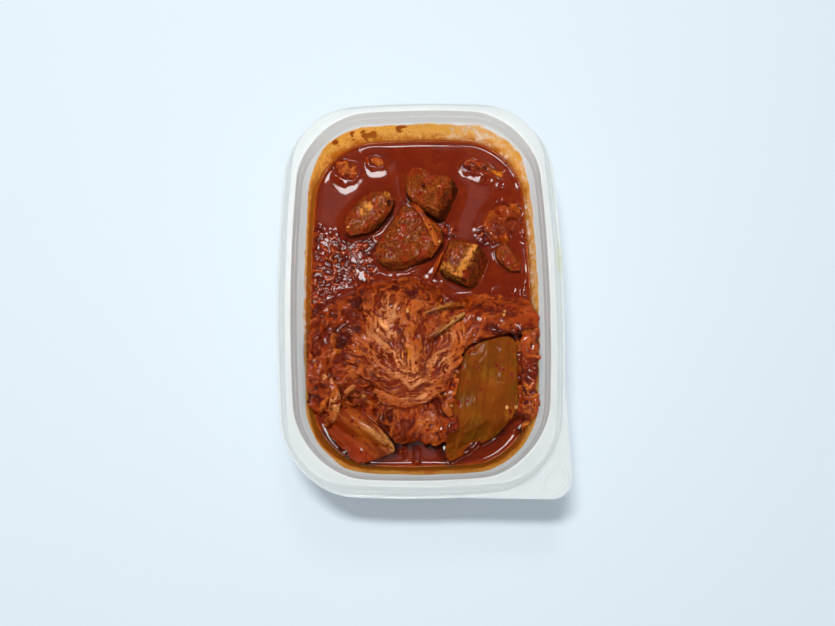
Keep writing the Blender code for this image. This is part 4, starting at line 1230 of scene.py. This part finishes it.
def sauce_finish(settings):
    finish = Finish("sauce", IOR=1.27)
    pulp = finish.attribute("pulp")
    relief = finish.attribute("relief")
    fine = finish.noise(0.6, 3.0, 0.7)
    cloud = finish.noise(9.0, 4.0, 0.6, 1.0)
    grain = finish.noise(0.35, 2.0, 0.6)
    clouded = (cloud + fine * 0.25).step(0.36, 0.74) * 0.8
    colour = finish.mix(clouded, tuple(settings.body), CLOUD_COLOUR)
    hollow = (pulp * (1.0 - relief) * 1.3 + (fine - 0.5) * 0.3).step(0.15, 0.7)
    colour = finish.mix(hollow, colour, tuple(settings.dark))
    crest = (pulp * relief * 1.2 + (fine - 0.5) * 0.5).step(0.45, 0.85) * 0.55
    colour = finish.mix(crest, colour, PULP_CREST)
    speck = (1.0 - finish.cells(1.3).step(0.1, 0.26)) * finish.noise(3.0, 2.0).step(0.5, 0.64)
    colour = finish.mix(speck * 0.6, colour, SAUCE_SPECK)
    edge = finish.attribute("edge")
    thin = (edge + (fine - 0.5) * 0.3).clamped() * edge.step(0.0, 0.2)
    colour = finish.mix(thin, colour, tuple(settings.thin))
    colour = finish.mix(finish.attribute("shade"), colour, SAUCE_SHADE)
    finish.set("Base Color", colour)
    finish.set("Roughness", 0.05 + pulp * 0.03 + grain * 0.01)
    finish.bump(fine * 0.03 + pulp * fine * 0.3, 0.06)
    return finish.material


class KIMCHI_OT_sauce(bpy.types.Operator):
    """Make the sauce, which climbs the wall and every piece that stands in it."""

    bl_idname = "kimchi.make_sauce"
    bl_label = "Sauce"

    def execute(self, context):
        settings = context.scene.kimchi_sauce
        loops = [self.wall_loop(height) for height in SAUCE_SIDE_HEIGHTS]
        edge = self.wall_loop(SAUCE_LEVEL)
        ring_count = int(edge[:, 0].max() / SAUCE_RING_STEP)
        shares = np.linspace(1.0, 0.01, ring_count)
        top = [edge * np.array((share, share, 1.0)) for share in shares]
        surface = np.concatenate(top)
        tree = food_tree(fine_food())
        surface[:, 2], masks = self.level(surface, self.from_wall(edge, shares), tree, settings)
        rings = loops + np.split(surface, len(top))
        low = len(loops) * len(edge)
        bm = bmesh.new()
        loft(bm, [list(map(tuple, ring)) for ring in rings])
        sauce = mesh_object("sauce_body", bm)
        skin = Skin(sauce)
        skin.store(**{name: np.concatenate([np.zeros(low), mask]) for name, mask in masks.items()})
        skin.finish(sauce_finish(settings), "sauce", "sauce")
        return {"FINISHED"}

    def wall_loop(self, height):
        """The outline just inside the wall at a height, at even steps."""
        inset, radius = wall_at(height)
        loop = even_steps(np.array(tray_outline(inset + SAUCE_GAP, radius)), SAUCE_SPOKES)
        return np.column_stack([loop, np.full(len(loop), height)])

    def from_wall(self, edge, shares):
        """How far the points of each ring lie from the wall, measured square to it."""
        along = np.roll(edge, -1, axis=0) - np.roll(edge, 1, axis=0)
        square = np.column_stack([along[:, 1], -along[:, 0]])
        square /= np.linalg.norm(square, axis=1)[:, None]
        reach = np.abs((edge[:, :2] * square).sum(axis=1))
        return np.concatenate([(1.0 - share) * reach for share in shares])

    def piece_climb(self, points, tree):
        """How far the sauce climbs where pieces stand in it, and the places that they cover."""
        climb = np.zeros(len(points))
        covered = np.zeros(len(points), dtype=bool)
        away = np.full(len(points), PIECE_CLIMB_END)
        for index, point in enumerate(points):
            place = Vector((point[0], point[1], SAUCE_LEVEL))
            spot, outward, _, distance = tree.find_nearest(place)
            away[index] = distance
            if distance < PIECE_CLIMB_END:
                if (place - spot).dot(outward) < 0.0:
                    covered[index] = True
                    climb[index] = PIECE_CLIMB - min(distance, 1.0) * 0.8
                else:
                    climb[index] = PIECE_CLIMB * math.exp(-distance / PIECE_CLIMB_REACH)
        even = climb.reshape(-1, SAUCE_SPOKES)
        for _ in range(CLIMB_EVEN_ROUNDS):
            even = 0.5 * even + 0.25 * (np.roll(even, 1, axis=1) + np.roll(even, -1, axis=1))
            padded = np.concatenate([even[:1], even, even[-1:]])
            even = 0.5 * even + 0.25 * (padded[2:] + padded[:-2])
        share = smooth_step(0.4, 1.8, away)
        return np.where(covered, climb, climb * (1.0 - share) + even.ravel() * share), covered

    def level(self, points, wall_away, tree, settings):
        """Height of the sauce at points, with its masks for the material."""
        pulp = spots(points, PULP_PATCHES)
        pulp = np.clip(pulp * (1.0 + 0.5 * noise(points, 6.0)), 0.0, 1.0)
        bent = warped(points, 3.2, 1.8, 30.0)
        lumps = 0.5 + 0.5 * noise(bent, 2.9, 30.0) + 0.3 * noise(bent, 1.3, 33.0)
        ripple = noise(points, 7.0, 21.0)
        heights = SAUCE_LEVEL + settings.ripple * ripple + settings.pulp * pulp * (lumps - 0.35)
        heights += WALL_CLIMB * np.exp(-wall_away / WALL_CLIMB_REACH)
        heights += FRONT_SWELL * smooth_step(-50.0, -72.0, points[:, 1])
        climb, covered = self.piece_climb(points, tree)
        heights = np.where(covered, SAUCE_LEVEL, heights) + climb
        shade = np.zeros(len(points))
        for index in np.flatnonzero(points[:, 1] < SHADE_FROM):
            _, _, _, distance = tree.find_nearest((points[index][0], points[index][1], SAUCE_LEVEL + 2.0))
            shade[index] = 0.92 * math.exp(-(distance / SHADE_REACH) ** 2)
        relief = np.clip(lumps, 0.0, 1.0)
        rim = np.exp(-wall_away / 0.55)
        return heights, {"pulp": pulp, "relief": relief, "edge": rim, "shade": shade}


def flat_material(name, colour, roughness, spread):
    """A small scattered thing's finish: its colour varies finely from place to place."""
    finish = Finish(name, Roughness=roughness, Specular_IOR_Level=0.12)
    tone = finish.noise(0.8, 2.0)
    darker = tuple(channel * spread for channel in colour)
    finish.set("Base Color", finish.mix(tone.step(0.3, 0.7), darker, colour))
    finish.bump(tone, 0.05)
    return finish.material


def crumpled_disc(name, sides, length, width, thickness, seed):
    """A small closed plate with an uneven, bent outline, about one unit across."""
    draw = np.random.default_rng(seed)
    bm = bmesh.new()
    reach = draw.uniform(0.6, 1.0, sides)
    bend = draw.uniform(-0.25, 0.25)
    rings = []
    for side in (1.0, -1.0):
        ring = []
        for index in range(sides):
            angle = 2.0 * math.pi * index / sides
            x = length * reach[index] * math.cos(angle)
            y = width * reach[index] * math.sin(angle)
            ring.append(bm.verts.new((x, y, side * thickness + bend * x * x)))
        rings.append(ring)
    top = bm.verts.new((0.0, 0.0, thickness * 1.6))
    bottom = bm.verts.new((0.0, 0.0, -thickness * 1.6))
    for index in range(sides):
        after = (index + 1) % sides
        bm.faces.new((top, rings[0][index], rings[0][after]))
        bm.faces.new((bottom, rings[1][after], rings[1][index]))
        bm.faces.new((rings[0][index], rings[1][index], rings[1][after], rings[0][after]))
    bmesh.ops.recalc_face_normals(bm, faces=bm.faces)
    return bpy.data.objects.new(name, plain_mesh(name, bm))


class Scatter:
    """A tree of nodes that scatters small shapes over a surface."""

    SOCKETS = (
        ("Shapes", "NodeSocketCollection"), ("Density", "NodeSocketFloat"), ("Smallest", "NodeSocketFloat"),
        ("Largest", "NodeSocketFloat"), ("Lift", "NodeSocketFloat"), ("Seed", "NodeSocketInt"),
        ("Material", "NodeSocketMaterial"),
    )

    def __init__(self):
        self.group = bpy.data.node_groups.new("scatter", "GeometryNodeTree")
        face = self.group.interface
        face.new_socket("Geometry", in_out="INPUT", socket_type="NodeSocketGeometry")
        for name, kind in self.SOCKETS:
            face.new_socket(name, in_out="INPUT", socket_type=kind)
        face.new_socket("Geometry", in_out="OUTPUT", socket_type="NodeSocketGeometry")
        self.build()

    def node(self, kind, settings=None, links=None):
        node = self.group.nodes.new(kind)
        for name, value in (settings or {}).items():
            setattr(node, name, value)
        for key, value in (links or {}).items():
            if isinstance(value, bpy.types.NodeSocket):
                self.group.links.new(value, node.inputs[key])
            else:
                node.inputs[key].default_value = value
        return node

    def build(self):
        given = self.node("NodeGroupInput").outputs
        spread = self.node("GeometryNodeInputNamedAttribute", {"data_type": "FLOAT"}, {"Name": "spread"})
        density = self.node("ShaderNodeMath", {"operation": "MULTIPLY"},
                            {0: given["Density"], 1: spread.outputs["Attribute"]})
        points = self.node("GeometryNodeDistributePointsOnFaces", {"distribute_method": "RANDOM"}, {
            "Mesh": given["Geometry"], "Density": density.outputs[0], "Seed": given["Seed"]})
        lifted = self.node("ShaderNodeCombineXYZ", None, {"Z": given["Lift"]})
        raised = self.node("GeometryNodeSetPosition", None, {
            "Geometry": points.outputs["Points"], "Offset": lifted.outputs[0]})
        spin = self.node("FunctionNodeRandomValue", {"data_type": "FLOAT_VECTOR"}, {
            "Min": (-0.4, -0.4, 0.0), "Max": (0.4, 0.4, 6.283), "Seed": given["Seed"]})
        turned = self.node("FunctionNodeRotateEuler", {"rotation_type": "EULER", "space": "LOCAL"}, {
            "Rotation": points.outputs["Rotation"], "Rotate By": spin.outputs[0]})
        draw = self.node("FunctionNodeRandomValue", {"data_type": "FLOAT"}, {"Seed": given["Seed"]})
        few_large = self.node("ShaderNodeMath", {"operation": "POWER"}, {0: draw.outputs[1], 1: 2.6})
        size = self.node("ShaderNodeMapRange", None, {
            "Value": few_large.outputs[0], "To Min": given["Smallest"], "To Max": given["Largest"]})
        shapes = self.node("GeometryNodeCollectionInfo", None, {
            "Collection": given["Shapes"], "Separate Children": True, "Reset Children": True})
        placed = self.node("GeometryNodeInstanceOnPoints", None, {
            "Points": raised.outputs["Geometry"], "Instance": shapes.outputs[0], "Pick Instance": True,
            "Rotation": turned.outputs[0], "Scale": size.outputs[0]})
        real = self.node("GeometryNodeRealizeInstances", None, {"Geometry": placed.outputs["Instances"]})
        painted = self.node("GeometryNodeSetMaterial", None, {
            "Geometry": real.outputs["Geometry"], "Material": given["Material"]})
        result = self.node("NodeGroupOutput")
        self.group.links.new(painted.outputs["Geometry"], result.inputs["Geometry"])

    def scatter(self, name, ground, slot, **values):
        """Scatter shapes over a ground mesh, and keep the result as a plain mesh."""
        item = link_mesh(name, ground.data.copy())
        modifier = item.modifiers.new("scatter", "NODES")
        modifier.node_group = self.group
        for socket in self.group.interface.items_tree:
            if socket.in_out == "INPUT" and socket.name in values:
                modifier[socket.identifier] = values[socket.name]
        apply_modifiers(item)
        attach(item, "root")
        return item


# Rays that read the visible top, in millimetres: their distance, and the ends of their rows
TOP_STEP = 0.8
TOP_SIDE = (-50.0, 50.01)
TOP_LENGTH = (-70.0, 72.01)
# Where few flakes lie, in plan, with their radius
CROWN_CLEAR = (((-6.0, -28.0), 17.0), ((2.0, -42.0), 12.0))
STALK_CLEAR = (((27.0, -42.0), 11.0), ((18.0, -62.0), 8.0))


def visible_top(tree):
    """A sheet over everything that shows from above, with how thickly things lie on each place."""
    grid = {}
    points = []
    for column, x in enumerate(np.arange(*TOP_SIDE, TOP_STEP)):
        for row, y in enumerate(np.arange(*TOP_LENGTH, TOP_STEP)):
            spot, outward, _, _ = tree.ray_cast((x, y, 60.0), (0.0, 0.0, -1.0))
            if spot is not None and spot.z > SAUCE_LEVEL - 0.5 and outward.z > 0.35:
                grid[(column, row)] = len(points)
                points.append(tuple(spot))
    faces = []
    for (column, row), first in grid.items():
        corners = [grid.get(key) for key in ((column + 1, row), (column + 1, row + 1), (column, row + 1))]
        if None not in corners:
            face = [first] + corners
            heights = [points[corner][2] for corner in face]
            if max(heights) - min(heights) < 1.5 * TOP_STEP:
                faces.append(face)
    mesh = bpy.data.meshes.new("ground")
    mesh.from_pydata([tuple(value * MM for value in point) for point in points], [], faces)
    item = link_mesh("ground", mesh)
    skin = Skin(item)
    patchy = smooth_step(-0.35, 0.55, noise(skin.points, 9.0, 60.0))
    on_food = smooth_step(22.6, 24.5, skin.points[:, 2])
    pulp = spots(skin.points, PULP_PATCHES)
    crown = spots(skin.points, CROWN_CLEAR)
    stalk = spots(skin.points, STALK_CLEAR)
    spread = (0.12 + 0.55 * pulp + 0.75 * on_food) * (0.25 + 0.75 * patchy)
    skin.store(spread=spread * (1.0 - 0.55 * crown) * (1.0 - 0.75 * stalk))
    return item


# A number for each square centimetre, times this, is one for each square metre
PER_SQUARE_METRE = 10000.0
SHAPES_OF_EACH = 6


class KIMCHI_OT_flakes(bpy.types.Operator):
    """Scatter chilli flakes, seeds and pale crumbs over all that shows."""

    bl_idname = "kimchi.scatter_flakes"
    bl_label = "Flakes and seeds"

    def execute(self, context):
        settings = context.scene.kimchi_flake
        ground = visible_top(food_tree(fine_food() + [bpy.data.objects["sauce_body"]]))
        scatter = Scatter()
        # Name, sides, half length, width and thickness, density, sizes, lift, finish and slot
        kinds = (
            ("chilli_flakes", 6, (0.5, 0.36, 0.055), settings.flake_density, (0.6, 3.4), -0.05,
             flat_material("chilli_flake", tuple(settings.flake), 0.3, 0.55), "shred"),
            ("chilli_seeds", 7, (0.5, 0.42, 0.16), settings.seed_density, (1.5, 2.2), 0.2,
             flat_material("chilli_seed", tuple(settings.seed), 0.4, 0.75), "rib"),
            ("pale_crumbs", 6, (0.5, 0.4, 0.2), settings.crumb_density, (0.7, 1.5), 0.1,
             flat_material("pale_crumb", tuple(settings.crumb), 0.45, 0.6), "crown"),
        )
        for index, (name, sides, form, density, sizes, lift, material, slot) in enumerate(kinds):
            shapes = bpy.data.collections.new(name + "_shapes")
            for shape in range(SHAPES_OF_EACH):
                shapes.objects.link(crumpled_disc(f"{name}_{shape}", sides, *form, 10 * index + shape))
            scatter.scatter(name, ground, slot, Shapes=shapes, Density=density * PER_SQUARE_METRE,
                            Smallest=sizes[0] * MM, Largest=sizes[1] * MM, Lift=lift * MM,
                            Seed=settings.random_seed + index, Material=material)
            for shape in list(shapes.objects):
                bpy.data.objects.remove(shape, do_unlink=True)
            bpy.data.collections.remove(shapes)
        bpy.data.objects.remove(ground, do_unlink=True)
        return {"FINISHED"}


def add_light(name, place, aim, size, power, mirrored=False, beam=None):
    """A light with its widths along x and y, or a narrow spot where it has a beam in degrees.

    Only a mirrored one shows in wet surfaces.
    """
    data = bpy.data.lights.new(name, "SPOT" if beam else "AREA")
    if beam:
        data.spot_size = math.radians(beam)
        data.spot_blend = 1.0
        data.shadow_soft_size = size[0] / 2.0
    else:
        data.shape = "ELLIPSE"
        data.size = size[0]
        data.size_y = size[1]
    data.energy = power
    lamp = bpy.data.objects.new(name, data)
    lamp.visible_glossy = mirrored
    lamp.location = place
    facing = (Vector(place) - Vector(aim)).normalized()
    ahead = facing.cross(Vector((1.0, 0.0, 0.0))).normalized()
    lamp.rotation_euler = Matrix((ahead.cross(facing), ahead, facing)).transposed().to_euler()
    bpy.context.scene.collection.objects.link(lamp)
    return lamp


class KIMCHI_OT_stage(bpy.types.Operator):
    """Make the table, the lights and the camera."""

    bl_idname = "kimchi.make_stage"
    bl_label = "Stage"

    def execute(self, context):
        settings = context.scene.kimchi_stage
        scene = context.scene
        bm = bmesh.new()
        bmesh.ops.create_grid(bm, x_segments=1, y_segments=1, size=TABLE_HALF_WIDTH)
        bmesh.ops.translate(bm, vec=(0.0, 0.0, -TABLE_DROP), verts=bm.verts)
        floor = mesh_object("floor", bm)
        finish = Finish("table", Roughness=0.55, Specular_IOR_Level=0.25)
        grain = finish.noise(60.0, 2.0)
        colour = tuple(settings.floor)
        finish.set("Base Color", finish.mix(grain * 0.5, colour, tuple(value * 0.985 for value in colour)))
        floor.data.materials.append(finish.material)
        world = bpy.data.worlds.new("studio")
        scene.world = world
        world.use_nodes = True
        background = world.node_tree.nodes["Background"]
        background.inputs["Color"].default_value = SKY_COLOUR
        background.inputs["Strength"].default_value = settings.sky
        self.add_lights(settings, floor)
        self.add_camera(scene)
        scene.view_settings.view_transform = "Standard"
        return {"FINISHED"}

    def add_lights(self, settings, floor):
        """Lights for all, and lights that reach only the dish, the tray, the food or the table."""
        add_light("key", KEY_PLACE, TRAY_MIDDLE, KEY_WIDTHS, settings.key_power, mirrored=True)
        add_light("far_fill", (0.1, 0.75, 1.1), TRAY_MIDDLE, (0.34, 0.34), 1.5)
        for name, x, y, power in SHEENS:
            add_light(name, (x, y, KEY_PLACE[2]), TRAY_MIDDLE, SHEEN_WIDTHS, power, mirrored=True)
        dish_lights = [add_light(name, place, TRAY_MIDDLE, *rest) for name, place, *rest in DISH_LIGHTS]
        tray_lights = [add_light(name, place, TRAY_MIDDLE, *rest) for name, place, *rest in TRAY_LIGHTS]
        tray_lights.append(add_light("far_wall", (0.0, -0.75, 0.62), FAR_WALL, (0.1, 0.1), 15.0, beam=12.0))
        food_light = add_light("food_key", KEY_PLACE, TRAY_MIDDLE, FOOD_KEY_WIDTHS, settings.food_power)
        dish = [item for item in bpy.data.objects if item.type == "MESH" and item != floor]
        food = [item for item in dish if "tray" not in item.name]
        tray = [item for item in dish if "tray" in item.name]
        self.light_only([food_light], "food", food, DISH_LIGHT_COLOUR)
        self.light_only(dish_lights, "dish", dish, DISH_LIGHT_COLOUR)
        self.light_only(tray_lights, "tray", tray, DISH_LIGHT_COLOUR)
        table_power = settings.table_power
        shading = add_light("table_key", KEY_PLACE, TRAY_MIDDLE, KEY_WIDTHS, table_power * TABLE_KEY_SHARE)
        even = add_light("table_fill", (-0.3, -0.4, 1.6), TRAY_MIDDLE, (1.0, 1.0), table_power)
        table = self.light_only([shading, even], "table", [floor], TABLE_LIGHT_COLOUR)
        even.light_linking.blocker_collection = table

    def light_only(self, lamps, name, items, colour):
        """Let the lamps light nothing but the items."""
        group = bpy.data.collections.new(name)
        for item in items:
            group.objects.link(item)
        for lamp in lamps:
            lamp.data.color = colour
            lamp.light_linking.receiver_collection = group
        return group

    def add_camera(self, scene):
        data = bpy.data.cameras.new("camera")
        data.sensor_width = CAMERA_SENSOR
        data.lens = CAMERA_LENS
        data.clip_start = 0.01
        camera = bpy.data.objects.new("camera", data)
        place = Vector(CAMERA_PLACE) * MM
        look = Vector(CAMERA_AIM) * MM - place
        level = look.to_track_quat("-Z", "Y")
        roll = Quaternion((0.0, 0.0, 1.0), math.radians(CAMERA_ROLL_DEGREES))
        camera.rotation_euler = (level @ roll).to_euler()
        camera.location = place
        scene.collection.objects.link(camera)
        scene.camera = camera


SETTINGS = (
    ("kimchi_tray", KimchiTraySettings),
    ("kimchi_sauce", KimchiSauceSettings),
    ("kimchi_leaf", KimchiLeafSettings),
    ("kimchi_pork", KimchiPorkSettings),
    ("kimchi_flake", KimchiFlakeSettings),
    ("kimchi_stage", KimchiStageSettings),
)
OPERATORS = (KIMCHI_OT_tray, KIMCHI_OT_leaves, KIMCHI_OT_pork, KIMCHI_OT_sauce, KIMCHI_OT_flakes,
             KIMCHI_OT_stage)


class KIMCHI_PT_panel(bpy.types.Panel):
    """Lists the pieces and their settings."""

    bl_idname = "KIMCHI_PT_panel"
    bl_label = "Braised kimchi"
    bl_space_type = "VIEW_3D"
    bl_region_type = "UI"
    bl_category = "Kimchi"

    def draw(self, context):
        for operator in OPERATORS:
            self.layout.operator(operator.bl_idname)
        for name, kind in SETTINGS:
            box = self.layout.box()
            for field in kind.__annotations__:
                box.prop(getattr(context.scene, name), field)


def register():
    for name, kind in SETTINGS:
        bpy.utils.register_class(kind)
        setattr(bpy.types.Scene, name, PointerProperty(type=kind))
    for kind in OPERATORS + (KIMCHI_PT_panel,):
        bpy.utils.register_class(kind)


def unregister():
    for kind in reversed(OPERATORS + (KIMCHI_PT_panel,)):
        bpy.utils.unregister_class(kind)
    for name, kind in reversed(SETTINGS):
        delattr(bpy.types.Scene, name)
        bpy.utils.unregister_class(kind)


def main():
    register()
    bpy.ops.kimchi.make_tray()
    bpy.ops.kimchi.make_leaves()
    bpy.ops.kimchi.make_pork()
    bpy.ops.kimchi.make_sauce()
    bpy.ops.kimchi.scatter_flakes()
    bpy.ops.kimchi.make_stage()


if __name__ == "__main__":
    main()
